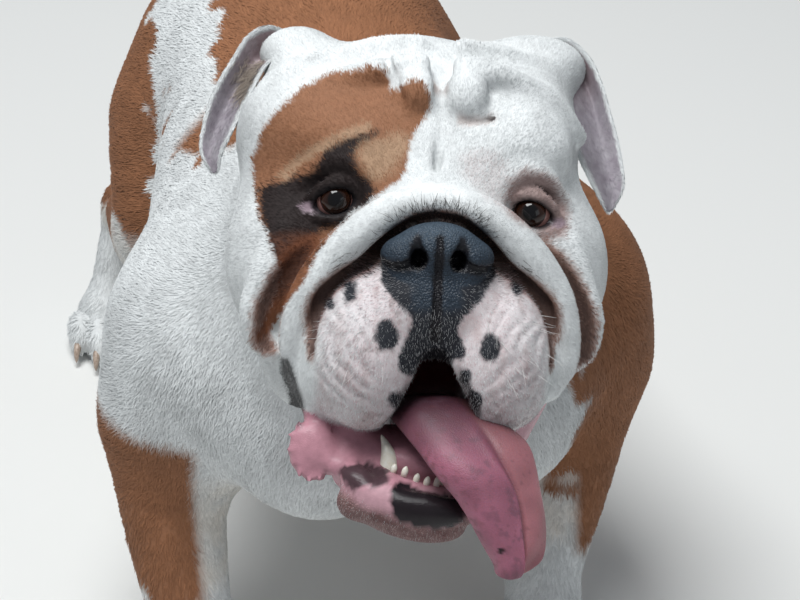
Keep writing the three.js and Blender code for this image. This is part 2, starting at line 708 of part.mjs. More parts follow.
// Paws: a pad, four toes and four claws, flat below
for (const leg of [...foreLegs, ...hindLegs]) {
  const [x, y] = leg.foot;
  const pawField = (p) => pawSteps(leg).reduce((d, step) => step(d, p), smoothMin(1000, trunkField(p), 1));
  const around = netSurface(pawField, [x - 70, y - 90, -24], [x + 70, y + 70, ankleTop + 26], pawCell);
  const kept = cutter([x - 90, y - 100, 0], [x + 90, y + 80, ankleTop - pieceGap]);
  const front = hindLegs.includes(leg) ? 'hind' : 'fore';
  addNode(`${front}_paw_${leg.name}`, solidOf(around).intersect(kept), coat.white);
}

// Neck, trunk and legs
const body = solidOf(netSurface(fleshField, [-240, -440, 0], [240, 460, 520], trunkCell))
  .subtract(headRegion.away)
  .subtract(slots[0])
  .subtract(slots[1])
  .intersect(cutter([-300, -600, ankleTop], [300, 600, 700]));
const rump = [[-60, 347, 200], [60, 450, 345]];
const tailNet = netSurface(fleshField, [-90, 310, 190], [90, 470, 370], pawCell);
const tail = solidOf(tailNet).intersect(cutter(...rump));
addNode('tail', tail, coat.white);
const left = shareOut(body.subtract(region(...rump).away), [
  ['neck', region([-240, 60, -200], [240, 168, 240], headFrame), coat.white],
  ['foreleg_right', region([-300, -300, 0], [-96, -20, 214]), coat.tan],
  ['foreleg_left', region([88, -300, 0], [300, -20, 214]), coat.tan],
  ['hind_leg_right', region([-300, 120, 0], [-40, 420, 128]), coat.white],
  ['hind_leg_left', region([40, 120, 0], [300, 420, 128]), coat.white],
  ['thigh_right', region([-300, 140, 120], [-66, 420, 286]), coat.tan],
  ['thigh_left', region([66, 140, 120], [300, 420, 286]), coat.tan],
  ['hindquarters', region([-200, 182, 120], [200, 420, 460]), coat.tan],
  ['belly', region([-250, 62, 100], [250, 190, 460]), coat.tan],
]);
addNode('chest', left, coat.white);

export default dog;
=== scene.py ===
# An english bulldog at life size: it stands with its head raised, its mouth open and its tongue out.
# Its shapes are drawn in millimetres a little over life size, in the dog's own frame (x its left, y back, z up).
import bpy
import math
import numpy as np
from mathutils import Matrix, Vector


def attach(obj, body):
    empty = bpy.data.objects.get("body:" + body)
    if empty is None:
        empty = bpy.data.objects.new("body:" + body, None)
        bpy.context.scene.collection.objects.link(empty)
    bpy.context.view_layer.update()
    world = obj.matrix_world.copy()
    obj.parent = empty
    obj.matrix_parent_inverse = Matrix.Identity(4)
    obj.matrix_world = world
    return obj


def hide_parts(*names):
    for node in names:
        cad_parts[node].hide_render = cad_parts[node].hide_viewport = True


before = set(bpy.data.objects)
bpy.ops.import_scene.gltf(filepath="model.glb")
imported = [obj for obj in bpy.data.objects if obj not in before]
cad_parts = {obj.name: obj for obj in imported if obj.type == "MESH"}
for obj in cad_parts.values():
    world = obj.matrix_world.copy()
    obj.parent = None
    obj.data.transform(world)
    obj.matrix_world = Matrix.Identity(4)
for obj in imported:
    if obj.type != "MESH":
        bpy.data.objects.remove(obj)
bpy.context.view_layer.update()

dog = {
    "lifeScale": 0.9,
    "middle": (2.0, 16.0, 0.0),  # brings the middle of the dog over the origin
    "withersHeight": 402,
    "shoulderWidth": 396,
    "hipWidth": 262,
    "eyeSpacing": 121,
    "noseWidth": 66,
    "headPlace": (-1.0, -268.0, 470.0),  # the point between the eyes
    "headPitch": 33,
    "headTurn": -9,
    "headRoll": 4.6,
    "jawPlace": (-6.0, -12.0, -163.0),  # the middle of the lower front teeth, in the head's frame
    "jawLean": 14,
    "cheekShift": -5,
}


def toRow(points):
    return (np.asarray(points, float) + np.array(dog["middle"])) * dog["lifeScale"] / 1000


def turned(axis, angle):
    c = math.cos(math.radians(angle))
    s = math.sin(math.radians(angle))
    return np.array({
        "x": [[1, 0, 0], [0, c, -s], [0, s, c]],
        "y": [[c, 0, s], [0, 1, 0], [-s, 0, c]],
        "z": [[c, -s, 0], [s, c, 0], [0, 0, 1]],
    }[axis])


headPlace = np.array(dog["headPlace"])
headTurned = turned("z", dog["headTurn"]) @ turned("x", -dog["headPitch"]) @ turned("y", dog["headRoll"])
jawPlace = np.array(dog["jawPlace"])
jawTurned = turned("y", dog["jawLean"])


def inHead(p):
    return ((p - headPlace) @ headTurned).astype(np.float32)


def fromHead(p):
    return np.asarray(p, float) @ headTurned.T + headPlace


def fromJaw(p):
    return fromHead(np.asarray(p, float) @ jawTurned.T + jawPlace)


def unit(v):
    return v / np.maximum(np.linalg.norm(v, axis=-1, keepdims=True), 1e-9)


def noiseAt(p, size, seed):
    # smooth noise from 0 to 1 whose lumps have this size
    q = p / size
    cell = np.floor(q).astype(np.int64)
    f = q - cell
    f = f * f * (3 - 2 * f)
    total = np.zeros(len(p))
    for corner in range(8):
        step = np.array([corner & 1, corner >> 1 & 1, corner >> 2 & 1])
        n = cell + step
        key = n[:, 0] * 73856093 ^ n[:, 1] * 19349663 ^ n[:, 2] * 83492791 ^ seed * 2654435761
        key = (key ^ key >> 13) * 1274126177 & 0x7FFFFFFF
        total += ((key ^ key >> 15) & 0xFFFF) / 65535 * np.prod(np.where(step, f, 1 - f), axis=1)
    return total


def ramp(v, low, high):
    t = np.clip((v - low) / (high - low), 0, 1)
    return t * t * (3 - 2 * t)


# The camera comes first, because the markings of the face are placed by what it sees.
view = {
    "azimuth": 12.4,
    "elevation": 35,
    "distance": 1.35,
    "pixelsWide": 800,
    "pixelsHigh": 600,
    "focal": 2508,  # in pixels
    "eyesAt": (430, 205),  # the pixel of the point between the eyes
    "between": (-0.00315, -0.2268, 0.423),
}
azimuth = math.radians(view["azimuth"])
elevation = math.radians(view["elevation"])
ahead = np.array([
    math.sin(azimuth) * math.cos(elevation), math.cos(azimuth) * math.cos(elevation), -math.sin(elevation)])
across = np.array([math.cos(azimuth), -math.sin(azimuth), 0])
upward = np.cross(across, ahead)
halfWide = view["pixelsWide"] / 2
halfHigh = view["pixelsHigh"] / 2
sideways = (view["eyesAt"][0] - halfWide) / view["focal"]
upwards = (halfHigh - view["eyesAt"][1]) / view["focal"]
cameraAt = np.array(view["between"]) - view["distance"] * (ahead + sideways * across + upwards * upward)


def inPhoto(p):
    # the pixel at which the camera sees a drawn point
    q = toRow(p) - cameraAt
    depth = q @ ahead
    return np.stack([
        halfWide + view["focal"] * (q @ across) / depth,
        halfHigh - view["focal"] * (q @ upward) / depth,
    ], axis=1)


# Forms: each gives the distance to its surface, negative inside, and the box that holds it.
class Form:
    def __init__(self, distance, low, high):
        self.distance = distance
        self.low = np.asarray(low, np.float32)
        self.high = np.asarray(high, np.float32)


def ball(centre, radii):
    c = np.array(centre, np.float32)
    r = np.array(radii, np.float32)

    def distance(p):
        q = (p - c) / r
        length = np.sqrt((q * q).sum(1))
        steep = np.sqrt(((q / r) ** 2).sum(1))
        return length * (length - 1) / np.maximum(steep, 1e-6)

    return Form(distance, c - r, c + r)


def tiltedBall(centre, radii, angle):
    still = ball((0, 0, 0), radii)
    tilt = turned("x", angle).astype(np.float32)
    c = np.array(centre, np.float32)
    return Form(lambda p: still.distance((p - c) @ tilt), c - max(radii), c + max(radii))


def alongCurve(points, steps):
    # centripetal Catmull-Rom through the points
    points = np.asarray(points, float)
    last = len(points) - 1
    found = []
    for t in np.linspace(0, last, steps + 1):
        i = min(int(t + 1e-9), last - 1)
        w = t - i
        b = points[i]
        c = points[i + 1]
        a = points[i - 1] if i > 0 else 2 * b - c
        d = points[i + 2] if i + 2 <= last else 2 * c - b
        first, middle, third = (max(((v - u) ** 2).sum(), 1e-12) ** 0.25 for u, v in ((a, b), (b, c), (c, d)))
        start = ((b - a) / first - (c - a) / (first + middle) + (c - b) / middle) * middle
        end = ((c - b) / middle - (d - b) / (middle + third) + (d - c) / third) * middle
        found.append(b + start * w + (3 * (c - b) - 2 * start - end) * w * w
                     + (2 * (b - c) + start + end) * w ** 3)
    return np.array(found)


def rope(points, radii, smooth=4):
    # a round string through the points, with a radius at each
    spans = len(points) - 1
    steps = spans * smooth if len(points) > 2 else 1
    joints = alongCurve(points, steps).astype(np.float32)
    thick = np.interp(np.linspace(0, spans, steps + 1), range(spans + 1), radii).astype(np.float32)

    def distance(p):
        best = np.full(len(p), 1e6, np.float32)
        for i in range(steps):
            way = joints[i + 1] - joints[i]
            q = p - joints[i]
            t = np.clip((q @ way) / (way @ way), 0, 1)
            gap = q - t[:, None] * way
            best = np.minimum(best, np.sqrt((gap * gap).sum(1)) - thick[i] - t * (thick[i + 1] - thick[i]))
        return best

    widest = thick.max()
    return Form(distance, joints.min(0) - widest, joints.max(0) + widest)


def mirrored(form):
    reach = max(abs(form.low[0]), abs(form.high[0]))
    return Form(
        lambda p: form.distance(np.stack([np.abs(p[:, 0]), p[:, 1], p[:, 2]], axis=1)),
        (-reach, form.low[1], form.low[2]), (reach, form.high[1], form.high[2]))


def shifted(form, dx):
    move = np.array([dx, 0, 0], np.float32)
    return Form(lambda p: form.distance(p - move), form.low + move, form.high + move)


def smoothMin(a, b, blend):
    h = np.maximum(blend - np.abs(a - b), 0) / blend
    return np.minimum(a, b) - h * h * (blend / 4)


def add(blend, form):
    return (1, blend, form)


def cut(blend, form):
    return (-1, blend, form)


def valueOf(steps, p, near):
    # right wherever the value is under near: a form further off than its blend changes nothing
    d = np.full(len(p), 1000, np.float32)
    for at, (sign, blend, form) in enumerate(steps):
        reach = near + max(later[1] for later in steps[at:])
        here = np.flatnonzero(((p > form.low - reach) & (p < form.high + reach)).all(1))
        if len(here):
            d[here] = sign * smoothMin(sign * d[here], form.distance(p[here]), blend)
    return d


# The trunk and legs
chestHalf = dog["shoulderWidth"] / 2
hipHalf = dog["hipWidth"] / 2
legs = [
    {"name": "fore_right", "side": -1, "turn": 8, "foot": (-152, -172, 30),
     "upper": ([(-154, -100, 200), (-156, -128, 132), (-152, -158, 66), (-152, -172, 30)], (47, 38, 30, 30))},
    {"name": "fore_left", "side": 1, "turn": 8, "foot": (107, -166, 30),
     "upper": ([(146, -100, 206), (130, -126, 134), (110, -152, 66), (107, -166, 30)], (47, 38, 30, 30))},
    {"name": "hind_right", "side": -1, "turn": 12, "foot": (-154, 302, 30),
     "upper": ([(-88, 228, 240), (-112, 190, 178), (-130, 326, 112)], (62, 48, 25)),
     "lower": ([(-130, 326, 112), (-148, 314, 52), (-154, 302, 30)], (24, 22, 26))},
    {"name": "hind_left", "side": 1, "turn": 12, "foot": (108, 272, 30),
     "upper": ([(88, 228, 240), (104, 190, 178), (108, 318, 112)], (62, 48, 25)),
     "lower": ([(108, 318, 112), (108, 292, 52), (108, 272, 30)], (24, 22, 26))},
]
toes = [(-27, 26), (-10, 38), (10, 38), (27, 26)]  # across and ahead of the ankle


def pawPlace(leg, acrossFoot, aheadOfFoot, up):
    turn = math.radians(leg["side"] * leg["turn"])
    x, y, _ = leg["foot"]
    return (x + acrossFoot * math.cos(turn) + aheadOfFoot * math.sin(turn),
            y + acrossFoot * math.sin(turn) - aheadOfFoot * math.cos(turn), up)


trunk = [
    add(1, ball((0, -15, dog["withersHeight"] - 130), (152, 190, 128))),  # ribs
    add(45, mirrored(ball((chestHalf - 93, -94, 260), (91, 90, 98)))),  # shoulders
    add(45, ball((0, -160, 272), (120, 80, 92))),  # breast
    add(30, mirrored(ball((62, -172, 240), (58, 66, 62)))),
    add(60, ball((0, 130, dog["withersHeight"] - 104), (112, 130, 100))),  # loin
    add(50, ball((0, 232, 304), (hipHalf - 14, 112, 96))),  # rump
    add(40, mirrored(tiltedBall((hipHalf - 52, 236, 226), (54, 88, 112), -14))),  # thighs
    add(50, rope([(0, -50, 285), (0, -130, 366), (0, -172, 424)], (120, 104, 90))),  # neck
    add(25, rope([(0, -196, 370), (0, -216, 320), (0, -228, 275)], (52, 50, 40))),  # dewlap
    add(14, rope([(0, 330, 318), (4, 366, 300), (-4, 384, 272), (6, 388, 252)], (26, 19, 14, 8))),  # tail
]
for leg in legs:
    trunk.append(add(40, rope(*leg["upper"])))
    if "lower" in leg:
        trunk.append(add(14, rope(*leg["lower"])))
for leg in legs:
    trunk.append(add(10, ball(pawPlace(leg, 0, 4, 20), (33, 36, 26))))
    for side, front in toes:
        trunk.append(add(3, ball(pawPlace(leg, side, front, 17), (12.5, 23, 19))))
        trunk.append(add(3, ball(pawPlace(leg, side, front + 17, 14), (7, 8, 8))))
# folds of loose skin behind the shoulders
trunk += [
    add(9, mirrored(rope([(60, -112, 410), (104, -92, 372), (136, -84, 318)], (7, 9, 6)))),
    add(9, mirrored(rope([(66, -82, 408), (112, -62, 364), (148, -54, 306)], (6, 8, 5)))),
]

# The head, in its own frame, with its origin between the eyes
eyeX = dog["eyeSpacing"] / 2
eyeBack = 14
eyePlaces = {-1: np.array([-eyeX, eyeBack, 0.0]), 1: np.array([eyeX - 3, eyeBack, -2.0])}
noseHalf = dog["noseWidth"] / 2
cheekShift = dog["cheekShift"]
skull = [
    add(1, ball((-12, 84, 24), (98, 80, 78))),  # braincase
    add(20, ball((-74, 74, 40), (50, 58, 50))),  # temples
    add(20, ball((45, 72, 46), (46, 60, 46))),
    add(30, ball((-4, 118, -20), (100, 70, 86))),  # nape
    add(24, ball((-83, 58, -36), (44, 58, 56))),  # cheeks: the right one stands out further
    add(24, ball((68, 58, -36), (44, 58, 56))),
    add(18, mirrored(ball((44, 26, 34), (36, 26, 22)))),  # brows
    add(25, ball((0, 32, -16), (60, 50, 52))),
    add(24, ball((-72, 72, -88), (32, 50, 44))),  # jowls
    add(24, ball((56, 72, -80), (30, 48, 40))),
    add(24, ball((0, 90, -100), (66, 50, 46))),  # throat
    add(20, ball((0, 12, -66), (62, 46, 46))),  # muzzle
    add(8, mirrored(ball((38, -6, -90), (36, 38, 47)))),  # upper lip pads
    add(12, ball((-60, 22, -100), (24, 38, 36))),  # lips at the corners
    add(12, ball((52, 22, -98), (24, 38, 36))),
    add(4, ball((0, -27, -27), (noseHalf - 7, 19, 17))),  # nose
    add(4, mirrored(ball((noseHalf - 14, -24, -31), (15, 18, 12)))),
    add(10, ball((0, -22, -58), (34, 20, 26))),  # middle of the upper lip
]
noseFold = rope(
    [(0, -19, 2), (26, -20, -4), (50, -16, -22), (70, -8, -48), (79, -2, -70), (81, 3, -88), (74, 10, -108)],
    (9, 10.5, 11.5, 12, 12, 11, 8), 6)
cheekFold = rope(
    [(86, 12, -22), (95, 10, -45), (101, 13, -66), (99, 17, -84), (90, 18, -94)], (8, 9, 10, 9, 7), 6)
cheekCrease = shifted(mirrored(rope([(66, -4, -20), (82, 0, -43), (93, 2, -66), (96, 6, -88)], (3, 5, 6.5, 6))),
                      cheekShift / 2)
noseCrease = mirrored(rope(
    [(0, -24, -9), (12, -24, -10), (30, -16, -20), (38, -11, -34), (54, -14, -43), (65, -14, -55), (69, -15, -72),
     (68, -18, -90)], (1.5, 1.8, 2.2, 3.2, 3.8, 4.0, 3.8, 2.5)))
furrow = rope([(-1, 24, 88), (-1, 9, 66), (0, 2, 42), (-2, -3, 18)], (3.5, 4, 3.5, 3))
browCrease = rope([(0, 7, 70), (2, 5, 58), (9, 6, 52), (24, 8, 51), (37, 12, 53)], (2, 2.6, 2.6, 2.2, 1))
lipGroove = rope([(0, -43.6, -20), (0, -45.2, -27), (0, -44, -33), (0, -41.6, -38), (0, -40, -43), (0, -40.7, -50),
                  (0, -41.4, -57), (0, -40.9, -65), (0, -38.8, -73), (1, -35.3, -80)],
                 (1.2, 1.6, 1.7, 1.8, 1.9, 2.0, 2.0, 2.1, 2.3, 2.6))
mouthCuts = [
    rope([(1.5, -45, -74), (2.5, -42, -98), (4, -38, -136)], (1.2, 10, 28)),
    rope([(2, -23, -82), (4, -14, -136)], (5, 30)),
    ball((2, 22, -116), (38, 50, 28)),
]
nostrils = [
    mirrored(rope([(14, -41.2, -18), (14, -42.4, -24), (12, -43, -33)], (1.6, 2.8, 5.2))),
    mirrored(ball((11.5, -36, -33), (4.6, 14, 6))),
    mirrored(rope([(12, -41, -34.5), (20, -38.5, -37.5), (26, -35.4, -38), (30, -31.2, -37), (33, -26, -35)],
                  (4.0, 2.8, 2.5, 2.3, 2.0))),
]
skull += [
    # the roots of the ears
    add(12, ball((-86, 97, 90), (26, 30, 20))),
    add(24, ball((64, 96, 90), (34, 30, 22))),
    cut(4, ball((-116, 72, 70), (8, 12, 12))),  # the opening of the right one
    # the fold over the nose and the cheek folds, with the creases beside them
    add(5, mirrored(noseFold)),
    add(8, shifted(mirrored(cheekFold), cheekShift)),
    cut(5, cheekCrease),
    cut(3, noseCrease),
    # forehead: knobs beside a furrow, and folds that run out from it
    add(6, mirrored(ball((15, 14, 66), (14, 12, 15)))),
    add(8, mirrored(rope([(14, 20, 84), (36, 22, 80), (62, 34, 68), (88, 50, 46)], (8, 8, 8, 6)))),
    add(8, mirrored(rope([(14, 48, 97), (40, 52, 93), (66, 64, 84)], (6, 8, 7)))),
    cut(2.5, furrow),
    cut(1.5, browCrease),
    cut(3, rope([(-33, 20, 86), (-28, 10, 70), (-23, 6, 58)], (1.5, 2.4, 1.5))),
    cut(1.2, lipGroove),
]
for side, eyePlace in eyePlaces.items():
    dx, _, dz = eyePlace - np.array([side * eyeX, eyeBack, 0])

    def around(points, radii):
        return rope([(side * x + dx, y, z + dz) for x, y, z in points], radii)

    skull += [
        cut(6, ball((eyePlace[0], 0, eyePlace[2]), (15, 10, 12))),
        add(9, around([(38, 6, 10), (46, 3, 19), (58, 4, 23), (72, 10, 18), (82, 20, 6)], (4, 5, 5, 4, 3))),
        add(3, around([(45, 7, 0), (50, 4, 8), (60, 2.5, 10.5), (71, 5, 5), (79, 12, -6)], (3, 3.8, 4.4, 4, 3))),
        add(3, around([(45, 7, -2), (52, 4, -9), (61, 4, -12), (71, 7, -11.5), (79, 12, -8)],
                      (3, 3.2, 3.4, 3.4, 3))),
    ]
skull += [cut(blend, form) for blend, form in zip((5, 5, 6, 2, 2, 1), mouthCuts + nostrils)]
jaw = [
    add(14, rope([(-66, 84, 62), (-52, 44, 24), (-36, 16, -8)], (26, 19, 14))),
    add(14, rope([(50, 84, 62), (42, 44, 24), (34, 16, -8)], (24, 18, 14))),
    add(14, ball((0, 46, 6), (42, 46, 20))),  # floor of the mouth
    add(8, ball((0, 4, -22), (39, 25, 17))),  # chin
    add(4, rope([(-26, 10, -2), (-15, -1, -6), (0, -4, -7), (15, -1, -6), (26, 10, -2)], (6, 6, 6, 6, 6))),
    add(4, rope([(-46, 24, 6), (-34, -2, -12), (-17, -12, -16), (17, -12, -16), (34, -2, -12), (46, 24, 6)],
                (7, 8, 7, 7, 8, 7))),
    add(5, rope([(-14, -8, -10), (-8, -12, -16), (10, -14, -15), (31, -12, -11), (40, -4, -6)], (8, 9, 10, 9, 7))),
    add(5, ball((-31, -2, -11), (11, 9, 8))),
    add(6, ball((-30, 0, -25), (12, 12, 11))),
    add(5, rope([(-70, 24, 24), (-64, 16, 4), (-48, 8, -8)], (5, 7, 6))),  # the loose lip on the right
    add(5, ball((-63, 13, -3), (15, 8, 17))),
]
frillTips = [(-79, 11, 12), (-80, 10, 3), (-78, 8, -7), (-73, 7, -15), (-67, 6, -21), (-59, 5, -25), (-51, 5, -22)]
for tip in frillTips:
    jaw.append(add(3, rope([(0.6 * tip[0] - 25, 13, 0.6 * tip[2] - 1), tip], (5, 1.2))))


def jawField(v, near):
    return valueOf(jaw, ((v - jawPlace) @ jawTurned).astype(np.float32), near)


def headField(v, near):
    return smoothMin(valueOf(skull, v, near + 8), jawField(v, near + 8), 8)


skin = {
    "cell": 1.75,  # grid step at the nose
    "spread": 150,  # the steps are three times as wide at this distance from it
    "block": 8,
    "low": (-225, -420, -8),  # corners of the grid
    "high": (225, 440, 590),
    "far": 50,  # what the grid holds away from the surface
    "joinHead": 26,  # how widely the head blends into the neck
    "insetFace": 0.4,  # how deep the skin lies under the coat's outside, from here ...
    "insetFrom": 70,
    "insetBody": 2.2,  # ... to here, over this distance
    "insetOver": 200,
    "settles": 3,
    "foldWidth": 7.5,  # the folds of the lip pads
    "foldDepth": 1.5,
}
nosePoint = fromHead((0, -30, -50))


def coatDepth(p):
    away = np.linalg.norm(p - nosePoint, axis=1)
    share = np.clip((away - skin["insetFrom"]) / skin["insetOver"], 0, 1)
    depth = skin["insetFace"] + (skin["insetBody"] - skin["insetFace"]) * share
    near = np.flatnonzero(away < 120)
    depth[near] += padFolds(inHead(p[near]))
    return depth


def padFolds(v):
    # loose folds of the lip pads, round the corner of the nose
    x = np.abs(v[:, 0])
    z = v[:, 2]
    ring = np.hypot(x - 14, (z + 52) * 0.85)
    place = ring + 9 * (noiseAt(v, 13, 41) - 0.5) + 0.03 * x * np.sin(z / 7)
    height = np.abs(np.sin(math.pi * place / skin["foldWidth"])) ** 0.7
    where = ramp(x, 26, 38) * ramp(-x, -72, -60) * ramp(-z, 52, 66) * ramp(z, -130, -112) * ramp(-v[:, 1], 0, 12)
    return (1 - height) * skin["foldDepth"] * where * (0.15 + 1.5 * noiseAt(v, 15, 42))


def fleshField(p, near):
    reach = near + skin["joinHead"]
    return smoothMin(valueOf(trunk, p, reach), headField(inHead(p), reach), skin["joinHead"])


def skinField(p, near=12):
    return np.maximum(fleshField(p, near + 4) + coatDepth(p), -p[:, 2])


def inParts(work, p, size=60000):
    return np.concatenate([work(p[i:i + size]) for i in range(0, len(p), size)])


def slopeOf(field, p, step=0.4):
    d = inParts(field, p)
    parts = []
    for axis in range(3):
        q = p.copy()
        q[:, axis] += step
        parts.append((inParts(field, q) - d) / step)
    return d, np.stack(parts, axis=1)


def settled(field, p, turns):
    # moves points to the surface, along the field's slope
    for _ in range(turns):
        d, slope = slopeOf(field, p)
        steep = np.maximum((slope * slope).sum(1), 0.2)
        p = p - slope * (np.clip(d, -1.5, 1.5) / steep)[:, None]
    return p.astype(np.float32)


def warped(g):
    # grid offsets to drawn points: the steps widen with the distance from the nose
    return (nosePoint + g * (1 + np.linalg.norm(g, axis=-1, keepdims=True) / skin["spread"])).astype(np.float32)


def makeSkinMesh():
    cell = skin["cell"]
    spread = skin["spread"]
    block = skin["block"]
    far = skin["far"]

    def narrowed(v):
        return np.sign(v) * (spread / 2) * (np.sqrt(1 + 4 * np.abs(v) / spread) - 1)

    first = np.floor(narrowed(skin["low"] - nosePoint) / cell).astype(int) - 1
    count = np.ceil((np.ceil(narrowed(skin["high"] - nosePoint) / cell) + 1 - first) / block).astype(int)
    size = count * block
    # coarse pass: the sign of each block, and whether the surface can be in it
    at = np.stack(np.meshgrid(*[np.arange(n) for n in count], indexing="ij"), axis=-1).reshape(-1, 3)
    centres = (first + at * block + (block - 1) / 2) * cell
    width = cell * block * (1 + 2 * np.linalg.norm(centres, axis=1) / spread)
    coarse = inParts(lambda p: skinField(p, 400), warped(centres))
    near = np.abs(coarse) < width * 1.1 + 8
    values = np.where(coarse < 0, -far, far).astype(np.float32).reshape(count)
    values = values.repeat(block, 0).repeat(block, 1).repeat(block, 2)
    inner = np.stack(np.meshgrid(*[np.arange(block)] * 3, indexing="ij"), axis=-1).reshape(-1, 3)
    nodes = (at[near][:, None, :] * block + inner).reshape(-1, 3)
    print("skin grid", tuple(size), "nodes looked at", len(nodes))
    found = inParts(skinField, warped((first + nodes) * cell))
    values[nodes[:, 0], nodes[:, 1], nodes[:, 2]] = found
    values[[0, -1]] = values[:, [0, -1]] = values[:, :, [0, -1]] = far
    inside = values < 0
    strides = np.array([size[1] * size[2], size[2], 1])
    flat = values.reshape(-1)
    sums = []
    faces = []
    for axis in range(3):
        here = np.moveaxis(inside, axis, 0)
        crossing = np.argwhere(here[:-1] != here[1:])
        order = [0, 1, 2]
        order.remove(axis)
        nodes = np.empty_like(crossing)
        nodes[:, axis] = crossing[:, 0]
        nodes[:, order[0]] = crossing[:, 1]
        nodes[:, order[1]] = crossing[:, 2]
        index = nodes @ strides
        a = flat[index]
        b = flat[index + strides[axis]]
        point = nodes.astype(float)
        point[:, axis] += np.clip(a / (a - b), 0.02, 0.98)
        u = strides[(axis + 1) % 3]
        v = strides[(axis + 2) % 3]
        around = np.stack([index - u - v, index - v, index, index - u], axis=1)
        around[a >= 0] = around[a >= 0][:, ::-1]
        faces.append(around)
        sums.append((around.reshape(-1), point.repeat(4, 0)))
    cells = np.concatenate([s[0] for s in sums])
    points = np.concatenate([s[1] for s in sums])
    names, which = np.unique(cells, return_inverse=True)
    many = np.bincount(which)
    middle = np.stack([np.bincount(which, points[:, i]) / many for i in range(3)], axis=1)
    quads = np.searchsorted(names, np.concatenate(faces))
    verts = warped((first + middle) * cell)
    verts, quads = largestPiece(verts, quads)
    verts = settled(skinField, verts, skin["settles"])
    verts[:, 2] = np.maximum(verts[:, 2], 0)
    return verts, quads


def largestPiece(verts, quads):
    label = np.arange(len(verts))
    while True:
        lowest = label[quads].min(1)
        new = label.copy()
        for corner in range(4):
            np.minimum.at(new, quads[:, corner], lowest)
        new = new[new]
        if (new == label).all():
            break
        label = new
    names, sizes = np.unique(label, return_counts=True)
    kept = label == names[sizes.argmax()]
    where = np.cumsum(kept) - 1
    return verts[kept], where[quads[kept[quads[:, 0]]]]


# Meshes
def linkPiece(name, mesh):
    piece = bpy.data.objects.new(name, mesh)
    bpy.context.scene.collection.objects.link(piece)
    return piece


def linkMesh(name, verts, polygons, corners=4, smooth=True):
    mesh = bpy.data.meshes.new(name)
    mesh.vertices.add(len(verts))
    mesh.vertices.foreach_set("co", np.ascontiguousarray(verts, np.float32).reshape(-1))
    polygons = np.ascontiguousarray(polygons, np.int32)
    mesh.loops.add(polygons.size)
    mesh.loops.foreach_set("vertex_index", polygons.reshape(-1))
    mesh.polygons.add(len(polygons))
    mesh.polygons.foreach_set("loop_start", np.arange(len(polygons), dtype=np.int32) * corners)
    mesh.update(calc_edges=True)
    mesh.validate()
    mesh.polygons.foreach_set("use_smooth", np.full(len(mesh.polygons), smooth))
    return linkPiece(name, mesh)


def linkParts(name, parts):
    # one piece from several parts, each its points and its faces
    verts = []
    faces = []
    for partVerts, partFaces in parts:
        faces += [[corner + len(verts) for corner in face] for face in partFaces]
        verts += partVerts.tolist()
    mesh = bpy.data.meshes.new(name)
    mesh.from_pydata(verts, [], faces)
    mesh.polygons.foreach_set("use_smooth", np.ones(len(mesh.polygons), bool))
    return linkPiece(name, mesh)


def ringIndex(rings, sides):
    # the numbers of the points on rings of this many sides, and the quads between the rings
    index = np.arange(rings * sides).reshape(rings, sides)
    beside = np.roll(index, -1, axis=1)
    return index, np.stack([index[:-1], index[1:], beside[1:], beside[:-1]], axis=-1).reshape(-1, 4)


def giveColour(piece, name, values):
    full = np.ones((len(values), 4), np.float32)
    full[:, :3] = values
    layer = piece.data.color_attributes.new(name, "FLOAT_COLOR", "POINT")
    layer.data.foreach_set("color", full.reshape(-1))


def giveNumber(piece, name, values):
    layer = piece.data.attributes.new(name, "FLOAT", "POINT")
    layer.data.foreach_set("value", np.ascontiguousarray(values, np.float32))


def putOn(piece, slotName, *nodes):
    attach(piece, "root")
    if nodes:
        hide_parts(*nodes)


# Markings: colours and how bare, wet and pebbled the skin is, for drawn points
tones = {
    "white": (0.73, 0.75, 0.75),
    "tan": (0.30, 0.135, 0.068),
    "faceTan": (0.29, 0.135, 0.072),
    "lightTan": (0.46, 0.31, 0.20),
    "rust": (0.24, 0.085, 0.04),
    "black": (0.010, 0.009, 0.011),
    # the nose: black leather, with a painted bluish reflection of the sky mixed into its colour
    "nose": (0.022, 0.033, 0.048),
    # painted highlight: a paler, bluer colour for the top of the nose, as if it caught the light
    "paintedNoseHighlight": (0.065, 0.090, 0.118),
    "pigment": (0.010, 0.013, 0.019),
    "pink": (0.54, 0.37, 0.39),
    "rim": (0.33, 0.18, 0.17),
    "eyeSkin": (0.24, 0.12, 0.10),
    # mouth: near black red, painted shade for the inside of the mouth; the chin's mottling uses it too
    "mouth": (0.07, 0.012, 0.012),
    "gum": (0.48, 0.22, 0.27),
    "lipPink": (0.50, 0.29, 0.33),
    # chin: the chin's brownish pink, made darker as painted shade under the jaw; the pad freckles use it too
    "chin": (0.17, 0.10, 0.09),
    "earSkin": (0.27, 0.235, 0.27),
    "cream": (0.66, 0.52, 0.36),
    "haw": (0.36, 0.27, 0.31),
}
tones = {name: np.array(colour, np.float32) for name, colour in tones.items()}


def insideOf(outline, pixels, rounds=3):
    # how many pixels a point is inside a closed outline, negative outside
    loop = alongCurve(list(outline) + [outline[0]], len(outline) * rounds)
    low = loop.min(0) - 20
    high = loop.max(0) + 20
    found = np.full(len(pixels), -20.0)
    here = np.flatnonzero(((pixels > low) & (pixels < high)).all(1))
    q = pixels[here]
    best = np.full(len(q), 1e9)
    odd = np.zeros(len(q), bool)
    for a, b in zip(loop[:-1], loop[1:]):
        way = b - a
        t = np.clip(((q - a) @ way) / max(way @ way, 1e-9), 0, 1)
        best = np.minimum(best, ((q - a - t[:, None] * way) ** 2).sum(1))
        rise = way[1] if abs(way[1]) > 1e-9 else 1e-9
        odd ^= ((a[1] > q[:, 1]) != (b[1] > q[:, 1])) & (q[:, 0] < way[0] * (q[:, 1] - a[1]) / rise + a[0])
    found[here] = np.where(odd, 1, -1) * np.sqrt(best)
    return found


